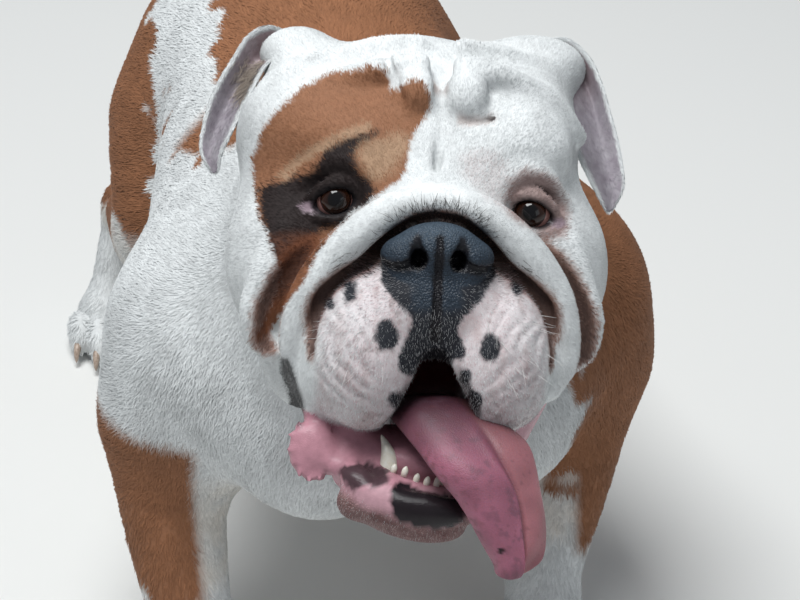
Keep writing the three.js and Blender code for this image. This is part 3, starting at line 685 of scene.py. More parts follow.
# outlines on the face, in pixels of the 800 by 600 photo
facePixels = {
    "patch": [(254, 160), (262, 132), (277, 112), (295, 95), (315, 80), (335, 72), (357, 69), (380, 67), (388, 74),
              (391, 90), (400, 88), (415, 81), (425, 87), (430, 102), (425, 117), (417, 130), (410, 145), (407, 160),
              (400, 180), (385, 190), (370, 202), (355, 212), (335, 232), (320, 250), (310, 267), (302, 285),
              (290, 302), (275, 322), (262, 340), (256, 342), (262, 322), (276, 296), (280, 270), (272, 246),
              (260, 215), (255, 185)],
    "eyeBlack": [(259, 190), (270, 185), (294, 178), (313, 173), (323, 154), (335, 144), (357, 136), (379, 133),
                 (365, 142), (355, 154), (360, 173), (370, 181), (375, 193), (370, 205), (360, 217), (348, 224),
                 (328, 229), (313, 241), (304, 251), (291, 256), (284, 266), (274, 261), (269, 241), (264, 217)],
    "browStreak": [(360, 144), (382, 137), (406, 134), (411, 144), (401, 163), (387, 178), (372, 180), (362, 168),
                   (357, 154)],
    "browLine": [(279, 176), (294, 161), (318, 144), (347, 129), (370, 124), (373, 129), (352, 137), (328, 149),
                 (299, 168), (284, 183)],
    "noseBlack": [(380, 258), (384, 285), (395, 300), (408, 312), (412, 322), (402, 345), (398, 362), (402, 374),
                  (412, 376), (430, 374), (448, 368), (458, 354), (462, 340), (458, 330), (466, 318),
                  (478, 304), (492, 282), (497, 260), (480, 240), (440, 226), (400, 238)],
    "lipPatch": [(338, 470), (350, 464), (372, 463), (388, 468), (386, 484), (368, 488), (346, 486)],
    "blackLip": [(392, 486), (400, 482), (425, 492), (448, 494), (462, 500), (467, 516), (455, 527), (425, 528),
                 (398, 520), (391, 504)],
    "cornerBlack": [(281, 356), (290, 360), (298, 385), (304, 405), (300, 428), (294, 420), (290, 395), (281, 372)],
    "greyBrow": [(462, 160), (480, 152), (500, 160), (508, 178), (512, 200), (500, 208), (484, 192), (468, 178)],
    "leftRim": [(510, 185), (525, 172), (545, 178), (562, 196), (568, 220), (560, 240), (545, 236), (528, 226),
                (512, 215), (505, 200)],
}
# centre, half width and half height of each dark spot, in the same pixels
spots = [(387, 335, 12, 16), (490, 348, 10, 15), (397, 400, 9, 8), (458, 352, 8, 8), (465, 376, 6, 8),
         (475, 400, 8, 10), (350, 291, 7, 12), (517, 286, 6, 11), (330, 304, 5, 6)]


def mixed(tone, colour, share):
    share = np.asarray(share, np.float32)[:, None]
    return tone * (1 - share) + tones[colour] * share


def bodyTones(p, pixels, onHead, rough, fine):
    # tan saddle, flanks, shoulders and thighs; white collar, breast, belly and feet
    x, y, z = p.T
    leftSide = ramp(x, -30, 30)
    frontEdge = -60 + 150 * (1 - leftSide) * ramp(-z, -400, -300) - 150 * leftSide * ramp(-z, -420, -330)
    saddle = ramp(y - frontEdge + 40 * rough, -8, 8)
    saddle *= ramp(z - 190 - 40 * rough + 40 * leftSide * ramp(-y, 0, 60), -8, 8)
    blaze = ramp(-np.abs(pixels[:, 0] - 192 + 30 * rough), -34, -28) * ramp(y, 20, 50) * ramp(-x, 20, 40)
    hips = ramp(z - 120 - 30 * rough, -6, 6) * ramp(y - 210, -20, 20)
    foreleg = ramp(-y, 20, 60) * ramp(z - 92 - 30 * rough, -6, 6) * ramp(-z, -238, -222)
    foreleg *= ramp(np.abs(x) - np.where(x < 0, 16, 0), 122, 134)
    tan = np.maximum(np.maximum(saddle, hips) * (1 - blaze), foreleg) * (1 - onHead)
    tan *= (ramp(y + z * 0.2, -180, -160) + leftSide) > 0.5
    tone = mixed(np.tile(tones["white"], (len(p), 1)), "tan", tan)
    tone *= np.clip(1 + 0.22 * rough + 0.10 * fine, 0.6, 1.3)[:, None]
    belly = ramp(-z, -215, -170) * (1 - tan) * ramp(z, 90, 120)
    return mixed(tone, "cream", 0.35 * belly * (0.6 + rough))


def markingsOf(p, normal, scatter=0):
    # scatter goes from -1 to 1 for each hair, so that colours meet hair by hair
    v = inHead(p)
    pixels = inPhoto(p)
    across, back, up = v.T
    wide = np.abs(across)
    rough = noiseAt(p, 14, 1) - 0.5
    fine = noiseAt(p, 3.2, 2) - 0.5
    onHead = ramp(-back, -112, -90) * ramp(-np.linalg.norm(v - (0, 40, 0), axis=1), -250, -230)
    facing = ramp(-(normal @ ahead), -0.1, 0.12) * onHead
    tone = bodyTones(p, pixels, onHead, rough, fine)

    def paint(colour, share):
        nonlocal tone
        tone = mixed(tone, colour, share)

    def inside(outline, astray, low, high):
        return ramp(insideOf(facePixels[outline], pixels) + astray, low, high)

    # the coat of the face
    patch = inside("patch", 3 * fine + 3 * rough + 1.5 * scatter, -1.2, 1.2) * facing
    streak = np.maximum(inside("browStreak", 6 * fine + 7 * scatter, -5, 8),
                        inside("browLine", 3 * fine + 3 * scatter, -3, 4))
    lowPatch = ramp(pixels[:, 1] + 20 * rough, 225, 250) * patch
    paint("faceTan", patch)
    paint("black", 0.96 * inside("eyeBlack", 4 * fine + 3 * rough + 5 * scatter, -4, 3) * patch)
    paint("lightTan", 0.75 * streak * patch)
    paint("rust", 0.45 * lowPatch)
    paint("black", 0.7 * lowPatch * ramp(scatter + fine, 0.0, 0.3) * ramp(-pixels[:, 1], -290, -255))
    folded = np.minimum(noseCrease.distance(v), cheekCrease.distance(v))
    stain = ramp(-folded + 2 * fine + 1.5 * scatter, -6.5, -2) * ramp(-back, -40, -20) * onHead
    paint("rust", 0.85 * stain)
    paint("black", 0.7 * ramp(-folded + scatter, -3.5, -0.5) * stain)
    # dark hairs over the nose, fewer with the distance from the crease
    fringe = ramp(-wide, -52, -36) * ramp(up, -40, -24) * facing * ramp(-folded, -9, -7)
    paint("rust", 0.6 * fringe * ramp(-folded, -6, -2))
    paint("black", 0.9 * fringe * ramp(scatter + 1 - folded / 3.8, 0, 0.1))
    paint("rim", 0.4 * inside("greyBrow", 8 * fine + 5 * scatter, -8, 6) * facing * ramp(scatter, -0.3, 0.2))
    paint("eyeSkin", 0.8 * inside("leftRim", 6 * fine + 6 * rough + 4 * scatter, -8, 5) * facing)
    paint("rust", 0.5 * ramp(-furrow.distance(v), -2, 0) * ramp(up, 62, 70) * onHead)
    # rust in the flat part of the brow crease: a stain, and painted shade that makes the crease read
    paint("rust", 0.4 * ramp(-browCrease.distance(v) + fine, -2, 0) * ramp(across, 8, 12) * onHead)

    # the lip pads
    fromFold = noseFold.distance(np.stack([wide, back, up], axis=1))
    muzzle = ramp(-wide, -71, -64) * ramp(-back, -22, -8) * ramp(-up, 30, 44) * ramp(fromFold, 0.5, 4)
    muzzle *= onHead * (1 - 0.35 * ramp(np.abs(across - 1) + 22 * rough, 42, 60))
    freckles = ramp(noiseAt(v, 2.4, 7), 0.66, 0.86) * ramp(noiseAt(v, 16, 8), 0.4, 0.65)
    paint("pink", 0.9 * muzzle * ramp(-scatter, -0.5, 0.5))
    paint("rim", 0.3 * muzzle * ramp(noiseAt(v * (1, 1, 0.35), 5, 5), 0.45, 0.8))
    paint("chin", 0.5 * muzzle * freckles)
    onJaw = jawField(v, 20) < np.minimum(valueOf(skull, v, 20) + 1.5, 8)
    paint("lipPink", onJaw * onHead)

    # the nose, with the dark skin below it and the spots
    pigment = inside("noseBlack", 3 * fine + 2 * rough + scatter, -1.2, 1.2)
    for atX, atY, halfAcross, halfUp in spots:
        gone = np.hypot((pixels[:, 0] - atX) / halfAcross, (pixels[:, 1] - atY) / halfUp)
        spot = ramp((1 - gone) * min(halfAcross, halfUp) + 3 * fine + 1.5 * scatter, -1.4, 1.6)
        pigment = np.maximum(pigment, spot)
    pigment *= facing * ramp(-back, 6, 14) * (1 - onJaw)
    paint("pigment", 0.985 * pigment)
    noseShape = ball((0, -34, -28), (noseHalf + 6, 26, 22)).distance(v)
    belowNose = ramp(-wide - 5 * fine, -17, -11) * ramp(up + 9 * rough, -70, -56) * ramp(-up, 40, 44)
    nose = np.maximum(ramp(-noseShape, -1, 1.5) * onHead, belowNose * pigment) * ramp(-back, 19, 24)
    # painted shade: the insides of the nostrils and the slits beside them are painted nearly black
    nostrilShade = ramp(-np.min([form.distance(v) for form in nostrils], axis=0), -1.5, -0.4) * onHead
    # black leather, with a painted bluish reflection in its colour
    paint("nose", nose)
    # painted highlight: the top of the nose is made paler and bluer, in specks, as if lit from above
    paint("paintedNoseHighlight", nose * ramp(up, -34, -12) * (0.5 + 0.5 * noiseAt(p, 1.6, 3)))
    paint("black", 0.93 * nostrilShade)
    leather = nose * (1 - 0.8 * nostrilShade)

    # the mouth and its lips
    mouth = np.min([form.distance(v) for form in mouthCuts], axis=0)
    cavity = ramp(-mouth, -1.6, 0.4) * ramp(back, -44, -38) * (1 - onJaw) * ramp(-up, 73, 77)
    notch = ramp(-np.abs(across - 1), -16, -11) * ramp(up, -97, -90) * ramp(-mouth, -5, -2) * ramp(-back, -4, 10)
    lipEdge = ramp(-mouth, -5.0 - 3 * fine, -2.5) * (1 - cavity) * ramp(-up, 74, 90) * ramp(-back, -10, 8)
    # painted shade: the inside of the mouth is painted near black red
    paint("mouth", cavity * onHead)
    paint("pigment", 0.95 * notch * onHead * (1 - onJaw))
    paint("black", 0.85 * lipEdge * (1 - onJaw) * facing * ramp(rough, -0.2, 0.1))
    lips = np.maximum(inside("lipPatch", 6 * fine, -2, 2) * 0.93, inside("blackLip", 3 * fine, -1.5, 1.5))
    lower = onJaw * onHead
    chinEdge = pixels[:, 1] + 0.5 * np.clip(400 - pixels[:, 0], 0, 70) + 14 * rough
    chin = lower * ramp(chinEdge, 512, 528) * ramp(pixels[:, 0], 322, 340) * (1 - lips)
    gum = lower * (1 - lips) * ramp(-pixels[:, 1], -492, -484)
    corner = inside("cornerBlack", 2 * fine, -2, 2) * facing
    paint("black", 0.985 * lips * lower * ramp(-(normal @ ahead), -0.5, -0.2))
    # the chin's own brownish pink, darkened as painted shade
    paint("chin", 0.9 * chin)
    paint("mouth", 0.45 * chin * ramp(noiseAt(v, 4, 6) + 0.6 * fine, 0.45, 0.8))
    paint("gum", 0.7 * gum * facing)
    paint("black", 0.95 * ramp(-lipGroove.distance(v), -1.5, -0.5) * onHead * (1 - onJaw))
    paint("black", 0.9 * corner)

    # the rims of the eyes
    haws = np.zeros(len(p))
    for side, place in eyePlaces.items():
        fromHaw = np.linalg.norm((v - place - (side * 15, -5, -6)) / (6, 8, 3.5), axis=1)
        haw = 0.9 * ramp(-fromHaw, -1.2, -0.8) * onHead
        paint("haw", haw)
        haws = np.maximum(haws, haw)
    toEye = np.min([np.linalg.norm(v - place, axis=1) for place in eyePlaces.values()], axis=0)
    lid = ramp(-toEye, -17.4 - 2 * fine, -15.0) * ramp(-back, -20, -10)
    paint("black", 0.92 * lid * onHead)

    def most(*shares):
        return np.max(np.broadcast_arrays(*shares), axis=0)

    wetJaw = lower * np.where(lips > 0.5, 0.95, np.where(gum > 0.5, 0.8, 0.35 - 0.3 * chin))
    return {
        "tone": np.clip(tone, 0, 1),
        "bare": most(0.3 * muzzle, lower, nose, 0.85 * pigment, cavity, lid),
        "wet": most(0.25 * muzzle, 0.55 * nose, 0.8 * cavity, wetJaw, 0.6 * corner, haws, 0.5 * lid),
        "pebble": most(leather, 0.25 * pigment, 0.9 * chin),
        "onHead": onHead,
        # where the bristles grow
        "fringe": ramp(-wide, -62, -48) * ramp(up, -52, -34) * facing * ramp(-folded, -11, -6) * (1 - leather),
        "stubble": most(muzzle * (1 - 0.2 * pigment) * (1 - onJaw) * (1 - leather) * (1 - cavity), 0.4 * chin),
        "whiskers": muzzle * ramp(wide, 28, 36) * ramp(-up, 54, 62) * ramp(up, -112, -100) * (1 - onJaw),
    }


skinVerts, skinQuads = makeSkinMesh()
print("skin", len(skinVerts), "vertices", 2 * len(skinQuads), "triangles")


def normalsOf(verts, quads):
    across = verts[quads[:, 2]] - verts[quads[:, 0]]
    along = verts[quads[:, 3]] - verts[quads[:, 1]]
    faceNormals = np.cross(across, along)
    total = np.zeros_like(verts)
    for corner in range(4):
        np.add.at(total, quads[:, corner], faceNormals)
    return unit(total)


skinNormals = normalsOf(skinVerts, skinQuads)
skinMarks = markingsOf(skinVerts, skinNormals)
skinPiece = linkMesh("skin", toRow(skinVerts), skinQuads)
giveColour(skinPiece, "tone", skinMarks["tone"])
for name in ("bare", "wet", "pebble"):
    giveNumber(skinPiece, name, skinMarks[name])


# Leaves: the ears and the tongue, from curves along them
def leafSheet(curves, lengthways, acrossways):
    splines = np.stack([alongCurve(points, lengthways) for points in curves], axis=1)
    return np.stack([alongCurve(row, acrossways) for row in splines])


def leafMesh(sheet, thick, relief=0):
    # a closed leaf: its two faces meet in round rims
    normal = unit(np.cross(np.gradient(sheet, axis=0), np.gradient(sheet, axis=1)))
    rows, columns = sheet.shape[:2]
    s = np.linspace(-1, 1, columns)[None, :]
    t = np.linspace(0, 1, rows)[:, None]
    edge = np.sqrt(np.clip(1 - np.abs(s) ** 5, 0, 1)) * np.sqrt(np.clip(1 - t ** 14, 0, 1))
    half = thick / 2 * np.clip(edge, 0.12, 1)
    front = sheet + normal * (half + relief)[..., None]
    rear = sheet - normal * half[..., None]
    index = np.arange(rows * columns).reshape(rows, columns)
    over = rows * columns
    face = np.stack([index[:-1, :-1], index[1:, :-1], index[1:, 1:], index[:-1, 1:]], axis=-1).reshape(-1, 4)
    border = np.concatenate([index[:-1, 0], index[-1, :-1], index[:0:-1, -1], index[0, :0:-1]])
    following = np.roll(border, -1)
    rim = np.stack([border, border + over, following + over, following], axis=-1)
    return np.concatenate([front.reshape(-1, 3), rear.reshape(-1, 3)]), np.concatenate([face, face[:, ::-1] + over, rim])


def leafPlaces(sheet):
    # for each point of both faces: how far along the leaf it is, 0 to 1, and how far across, -1 to 1
    t, s = np.meshgrid(*[np.linspace(low, 1, n) for low, n in zip((0, -1), sheet.shape)], indexing="ij")
    return np.tile(t.reshape(-1), 2), np.tile(s.reshape(-1), 2)


ears = {
    "thickness": 3.2,
    "rows": 70,
    "columns": 40,
    "right": [
        [(-68, 84, 88), (-90, 80, 90), (-104, 76, 84), (-113, 72, 68), (-120, 68, 52), (-126, 67, 38), (-131, 69, 26),
         (-133, 71, 15)],
        [(-78, 112, 90), (-98, 106, 95), (-112, 100, 86), (-123, 93, 70), (-131, 86, 52), (-137, 80, 36),
         (-139, 75, 23), (-136, 72, 13)],
        [(-84, 98, 98), (-104, 94, 108), (-117, 92, 103), (-128, 88, 86), (-138, 81, 66), (-144, 76, 44),
         (-145, 74, 27), (-139, 72, 15)],
    ],
    "left": [
        [(50, 84, 92), (70, 79, 90), (76, 75, 82), (79, 70, 70), (84, 66, 52), (92, 64, 32), (103, 66, 13),
         (110, 69, 2)],
        [(56, 112, 94), (78, 106, 96), (93, 99, 88), (100, 93, 74), (105, 88, 54), (110, 82, 33), (114, 76, 14),
         (113, 71, 1)],
        [(60, 100, 104), (82, 94, 110), (97, 88, 99), (105, 84, 84), (112, 82, 64), (119, 79, 40), (122, 75, 17),
         (116, 72, 3)],
    ],
}
earParts = {}
for name in ("right", "left"):
    sheet = leafSheet(ears[name], ears["rows"], ears["columns"])
    verts, quads = leafMesh(sheet, ears["thickness"])
    verts = fromHead(verts)
    length, width = leafPlaces(sheet)
    half = len(verts) // 2
    fine = noiseAt(verts, 4, 11) - 0.5
    rimward = ramp(np.abs(width) + 0.12 * fine, 0.80, 0.95)
    # the bare inside is the face that looks ahead
    isFront = np.arange(len(verts)) < half
    inside = isFront if normalsOf(verts, quads)[:half].mean(0) @ -ahead > 0 else ~isFront
    bare = inside * (1 - rimward)
    tone = np.tile(tones["white"], (len(verts), 1))
    skinTone = mixed(np.tile(tones["earSkin"], (len(verts), 1)), "rim",
                     0.6 * ramp(-length, -0.55, -0.15) * (1 - rimward))
    # painted shade: the ear skin round the opening of the right ear is painted nearly black
    canal = np.linalg.norm((inHead(verts) - (-117, 74, 72)) / (9, 24, 15), axis=1)
    skinTone = mixed(skinTone, "black", 0.85 * ramp(-canal, -1.3, -0.7))
    share = (bare * (0.9 + 0.2 * fine))[:, None]
    tone = tone * (1 - share) + skinTone * share
    earPiece = linkMesh(f"ear_{name}_skin", toRow(verts), quads)
    giveColour(earPiece, "tone", np.clip(tone, 0, 1))
    for mark, values in (("bare", bare), ("wet", 0.15 * bare), ("pebble", 0 * bare)):
        giveNumber(earPiece, mark, values)
    along = unit(fromHead(sheet + np.gradient(sheet, axis=0)) - fromHead(sheet)).reshape(-1, 3)
    earParts[name] = {"piece": earPiece, "verts": verts, "quads": quads, "tone": tone, "bare": bare,
                      "fur": np.clip(1 - 0.9 * bare, 0, 1), "along": np.concatenate([along, along])}

tongue = {
    "thickness": 8,
    "rows": 150,
    "columns": 70,
    "flesh": (0.31, 0.11, 0.16),
    "rear": (0.35, 0.14, 0.16),  # the half on the dog's left
    "smudge": (0.10, 0.055, 0.075),
    # speckles: dark specks, also used for the painted shade along the step
    "speckles": (0.13, 0.05, 0.06),
    "spotAt": (501, 551),  # the dark spot near the tip, in the photo's pixels
    "curves": [
        [(-24, 30, -128), (-21, -10, -130), (-4, -37, -148), (18, -43, -169), (34, -43, -188), (44, -42, -203),
         (48, -40, -214)],
        [(-10, 28, -121), (-8, -18, -124), (12, -44, -147), (30, -50, -169), (41, -50, -189), (48, -47, -206),
         (49, -42, -217)],
        [(6, 26, -119), (7, -18, -121), (29, -42, -146), (45, -46, -168), (51, -45, -191), (53, -43, -207),
         (52, -41, -216)],
        [(20, 28, -121), (26, -12, -122), (46, -37, -142), (57, -40, -168), (62, -39, -193), (61, -39, -206),
         (56, -40, -215)],
        [(34, 30, -128), (41, -4, -130), (59, -27, -140), (67, -32, -168), (72, -32, -191), (70, -34, -205),
         (61, -38, -213)],
    ],
}
sheet = leafSheet(tongue["curves"], tongue["rows"], tongue["columns"])
t, s = leafPlaces(sheet)
# its middle line steps down, and the dog's left of it is lower
fromStep = s - 0.30 + 0.25 * t
relief = (4.5 * ramp(-fromStep, -0.03, 0.10) * ramp(t, 0.22, 0.45) * ramp(-t, -1, -0.93)
          - 1.4 * np.exp(-((fromStep - 0.05) / 0.05) ** 2) * ramp(t, 0.2, 0.4)
          + 1.2 * np.sin(9 * t + 5 * s) * ramp(t, 0.4, 0.7) * ramp(-t, -1, -0.8))
verts, quads = leafMesh(sheet, tongue["thickness"], relief[:len(relief) // 2].reshape(sheet.shape[:2]))
verts = fromHead(verts)
tonguePiece = linkMesh("tongue_flesh", toRow(verts), quads)


def stained(tone, colour, share):
    return tone * (1 - share[:, None]) + np.array(tongue[colour]) * share[:, None]


fine = noiseAt(verts, 2.2, 21)
rough = noiseAt(verts, 12, 22) - 0.5
tone = np.tile(np.array(tongue["flesh"], np.float32), (len(verts), 1))
tone = stained(tone, "rear", ramp(fromStep, 0, 0.08))
# the tone varies at random, and the root of the tongue, back in the mouth, is darkened as painted shade
tone *= (1 + 0.5 * rough[:, None]) * (0.25 + 0.75 * ramp(t, 0.18, 0.40))[:, None]
smudge = ramp(noiseAt(verts, 5, 23) + 0.5 * noiseAt(verts, 1.8, 24), 0.78, 1.1)
tone = stained(tone, "smudge", 0.45 * smudge * ramp(-np.abs(s + 0.15), -0.8, -0.1))
speckles = np.maximum(ramp(-s, 0.3, 0.95) * ramp(fine, 0.60, 0.75) * 0.6, 0.35 * ramp(fine, 0.80, 0.88))
# painted shade: a dark line along the foot of the step, where the raised half would shade the lower one
stepShade = np.exp(-((fromStep - 0.02) / 0.05) ** 2) * ramp(t, 0.15, 0.3) * 0.55
tone = stained(tone, "speckles", np.maximum(speckles, stepShade))
fromSpot = np.hypot(*(inPhoto(verts) - tongue["spotAt"]).T)
tone *= (1 - 0.95 * ramp(-fromSpot - 2 * fine, -5.5, -3.5))[:, None]
giveColour(tonguePiece, "tone", np.clip(tone, 0, 1))
print("ears and tongue")

# Eyes: the front of each ball is marked by the angle from where the dog looks
eye = {"radius": 12.5, "cornea": 0.9, "irisAngle": 46, "rings": 64, "segments": 96}
lookAt = cameraAt * 1000 / dog["lifeScale"] - np.array(dog["middle"])
eyePieces = {}
for name, side in (("right", -1), ("left", 1)):
    centre = fromHead(eyePlaces[side])
    gaze = unit(lookAt - centre)
    toSide = unit(np.cross(gaze, (0, 0, 1)))
    toTop = np.cross(toSide, gaze)
    a, b = np.meshgrid(np.linspace(0, math.pi, eye["rings"] + 1)[1:-1],
                       np.linspace(0, 2 * math.pi, eye["segments"], endpoint=False), indexing="ij")
    reach = eye["radius"] + eye["cornea"] * np.exp(-(np.degrees(a) / (eye["irisAngle"] * 0.8)) ** 4)
    rings = (np.cos(a)[..., None] * gaze + (np.sin(a) * np.cos(b))[..., None] * toSide
             + (np.sin(a) * np.sin(b))[..., None] * toTop) * reach[..., None]
    verts = np.concatenate([rings.reshape(-1, 3), [gaze * (eye["radius"] + eye["cornea"]), -gaze * eye["radius"]]])
    index, quads = ringIndex(*a.shape)
    front = index.size
    caps = [(front, i, j) for i, j in zip(index[0], np.roll(index[0], -1))]
    caps += [(front + 1, j, i) for i, j in zip(index[-1], np.roll(index[-1], -1))]
    piece = linkParts(f"eyeball_{name}", [(toRow(verts + centre), quads.tolist() + caps)])
    giveNumber(piece, "gaze", np.concatenate([np.degrees(a).reshape(-1), [0, 180]]) / eye["irisAngle"])
    eyePieces[name] = piece

# Teeth: two canines and the small front teeth of the lower jaw
teeth = {
    "canine": {"tall": 17, "wide": 5.4, "sunk": 5},
    "front": {"tall": 3.6, "wide": 2.0, "sunk": 3},
    "caninePlaces": [(-17, 5, 1), (17, 5, 1)],
    "frontPlaces": [(-13.8, -1.5, 1), (-7.2, -3.5, 1.5), (0.6, -4.5, -0.5), (7, -4.5, -0.5), (13, -3.5, 1.5),
                    (18, -1.5, 3.5)],
    "canineLean": 9,  # how far a canine's tip stands outward
    "sides": 20,
    # the outline of a tooth, from its sunk root to its tip, as shares of its height and half its width
    "heights": (0, 0.2, 0.4, 0.6, 0.78, 0.9, 0.97, 1.0),
    "widths": (0.9, 1.0, 1.0, 0.92, 0.76, 0.55, 0.36, 0.18, 0.02),
}


def toothPart(place, kind, lean):
    size = teeth[kind]
    heights = [-size["sunk"], *(size["tall"] * height for height in teeth["heights"])]
    turns = np.linspace(0, 2 * math.pi, teeth["sides"], endpoint=False)
    rings = []
    for height, width in zip(heights, np.array(teeth["widths"]) * size["wide"]):
        bend = lean * (max(height, 0) / size["tall"]) ** 2
        rings.append(np.stack([width * np.cos(turns) + bend, width * 0.85 * np.sin(turns) - 0.4 * bend,
                               np.full(len(turns), height)], axis=1))
    index, quads = ringIndex(len(rings), len(turns))
    ends = [index[0][::-1].tolist(), index[-1].tolist()]
    return toRow(fromJaw(np.concatenate(rings) + np.array(place))), quads[:, [0, 3, 2, 1]].tolist() + ends


toothParts = [toothPart(place, "canine", math.copysign(teeth["canineLean"], place[0]))
              for place in teeth["caninePlaces"]]
toothParts += [toothPart(place, "front", 0) for place in teeth["frontPlaces"]]
teethPiece = linkParts("teeth", toothParts)

# Claws: one on each toe, curved down
claw = {"rings": 8, "sides": 12, "wide": 4.6}
turns = np.linspace(0, 2 * math.pi, claw["sides"], endpoint=False)[:, None]
clawParts = []
for leg in legs:
    for side, front in toes:
        path = alongCurve([pawPlace(leg, side, front + 14, 17), pawPlace(leg, side * 1.03, front + 23, 14),
                           pawPlace(leg, side * 1.05, front + 29, 6)], claw["rings"])
        rings = []
        for i, point in enumerate(path):
            way = unit(path[min(i + 1, claw["rings"])] - path[max(i - 1, 0)])
            sideways = unit(np.cross(way, (0, 0, 1)))
            width = claw["wide"] * math.sqrt(max(1 - (i / claw["rings"]) ** 1.6, 0.004))
            rings.append(point + width * (np.cos(turns) * sideways * 0.75 + np.sin(turns) * np.cross(sideways, way)))
        index, quads = ringIndex(len(path), claw["sides"])
        ends = [index[0].tolist(), index[-1][::-1].tolist()]
        clawParts.append((toRow(np.concatenate(rings)), quads.tolist() + ends))
clawPiece = linkParts("claws", clawParts)
print("eyes, teeth and claws")

# The coat: flat tufts of short hair that lie along the body
coat = {
    "seed": 7,
    "jitter": 0.2,  # how far a tuft turns from the lie of the coat
    "lift": 0.06,  # how far its tip stands off, as a share of its length
    "aboveFloor": 0.4,
    "patch": 0.0015,  # half of a tuft's patch on its UV map
    # tufts, length and width in drawn millimetres for each piece
    "coat_face": (66000, 3.6, 0.42),
    "coat_skull": (62000, 5.0, 0.55),
    "coat_neck": (60000, 8.0, 0.8),
    "coat_chest": (60000, 9.0, 0.9),
    "coat_flanks": (64000, 10.0, 1.1),
    "coat_rump": (60000, 10.0, 1.1),
    "coat_legs": (60000, 7.0, 0.9),
    "coat_ears": (44000, 3.5, 0.45),
}
draw = np.random.default_rng(coat["seed"])


def lieOf(p, onHead):
    # the way the hair points: back from the nose over the head, then back and down the body, down the legs
    v = inHead(p)
    fromNose = unit((v - np.array([0, 30, -40], np.float32)) * np.array([1, 0.6, 1]))
    headLie = fromNose + (0, 0.75, 0) + np.array([0, 0, 0.25]) * ramp(v[:, 2], -10, 40)[:, None]
    muzzleDown = ramp(-v[:, 2], 55, 80)[:, None] * ramp(-v[:, 1], -40, -20)[:, None]
    headLie = (headLie + muzzleDown * np.array([0, 0.3, -0.9])) @ headTurned.T
    x, y, z = p.T
    outward = np.sign(x)[:, None] * (1, 0, 0)
    front = ramp(-y, 110, 170)[:, None]
    bodyLie = (0.15 * outward + (0, 0.9, -0.45)) * (1 - front) + (0.25 * outward + (0, 0.15, -1)) * front
    low = ramp(-z, -190, -130)[:, None]
    bodyLie = bodyLie * (1 - low) + np.array([0, 0.12, -1.0]) * low
    share = onHead[:, None]
    return unit(headLie * share + bodyLie * (1 - share))


def rootsOn(verts, quads, share, count):
    # random places on the faces, more where share is larger
    corners = np.concatenate([quads[:, [0, 1, 2]], quads[:, [0, 2, 3]]])
    a, b, c = verts[corners[:, 0]], verts[corners[:, 1]], verts[corners[:, 2]]
    cross = np.cross(b - a, c - a)
    area = np.linalg.norm(cross, axis=1)
    weight = area * share[corners].mean(1)
    pick = np.searchsorted(np.cumsum(weight) / weight.sum(), draw.random(count))
    pick = np.minimum(pick, len(corners) - 1)
    u = draw.random(count)
    w = draw.random(count)
    flip = u + w > 1
    u = np.where(flip, 1 - u, u)[:, None]
    w = np.where(flip, 1 - w, w)[:, None]
    return a[pick] * (1 - u - w) + b[pick] * u + c[pick] * w, corners[pick], (1 - u - w, u, w)


def blend3(values, corners, parts):
    return sum(values[corners[:, i]] * (parts[i] if values.ndim > 1 else parts[i][:, 0]) for i in range(3))


def tuftPiece(name, roots, normals, lies, lengths, widths, tones, places):
    # each tuft is a flat blade of three triangles: a pair of points at the root, a pair half way and a tip
    count = len(roots)
    lies = unit(lies - normals * (lies * normals).sum(1, keepdims=True))
    sideways = np.cross(lies, normals)
    turn = draw.normal(0, coat["jitter"], count)[:, None]
    lies = lies * np.cos(turn) + sideways * np.sin(turn)
    sideways = np.cross(lies, normals)
    long = (lengths * draw.uniform(0.7, 1.2, count))[:, None]
    wide = (widths * draw.uniform(0.7, 1.3, count))[:, None] / 2
    lift = coat["lift"] * draw.uniform(0.4, 1.6, count)[:, None]
    bend = draw.normal(0, 0.12, count)[:, None]
    start = roots - normals * 0.25
    middle = roots + lies * long * 0.5 + normals * (long * lift * 0.9 + 0.15) + sideways * bend * long * 0.3
    tip = roots + lies * long + normals * long * lift * 1.1 + sideways * bend * long
    for points in (middle, tip):
        points[:, 2] = np.maximum(points[:, 2], coat["aboveFloor"])
    verts = np.stack([start - sideways * wide, start + sideways * wide, middle + sideways * wide * 0.8,
                      middle - sideways * wide * 0.8, tip], axis=1).reshape(-1, 3)
    first = np.arange(count)[:, None] * 5
    triangles = np.stack([first + (0, 1, 2), first + (0, 2, 3), first + (3, 2, 4)], axis=1).reshape(-1, 3)
    piece = linkMesh(name, toRow(verts), triangles, corners=3)
    light = draw.normal(1, 0.06, count)[:, None]
    ends = np.array([0.90, 0.90, 1.0, 1.0, 1.04])[None, :, None]
    giveColour(piece, "tone", np.clip((tones * light)[:, None, :] * ends, 0, 1).reshape(-1, 3))
    unwrapTufts(piece, places, np.array([(-1, -1), (1, -1), (1, 0), (-1, 0), (0, 1)]) * coat["patch"])
    return piece


def unwrapTufts(piece, places, offsets):
    # each tuft is a small patch at its root's place
    patch = coat["patch"]
    uv = np.clip(places[:, None, :], 2 * patch, 1 - 2 * patch) + offsets
    layer = piece.data.uv_layers.new(name="OFBake")
    corner = np.empty(len(piece.data.loops), np.int32)
    piece.data.loops.foreach_get("vertex_index", corner)
    layer.data.foreach_set("uv", uv.reshape(-1, 2)[corner].astype(np.float32).reshape(-1))


def roundUnwrap(p, centre, axis, low, high):
    # round an axis and along it, as the skin itself goes
    q = p - np.array(centre)
    others = [i for i in range(3) if i != axis]
    turn = np.arctan2(q[:, others[0]], q[:, others[1]]) / (2 * math.pi) + 0.5
    return np.stack([turn, np.clip((q[:, axis] - low) / (high - low), 0, 1)], axis=1)


def headUnwrap(p):
    return roundUnwrap(inHead(p), (0, 60, 0), 1, -120, 130)


def earUnwrap(p):
    return roundUnwrap(inHead(p), (0, 80, 60), 0, -150, 150)


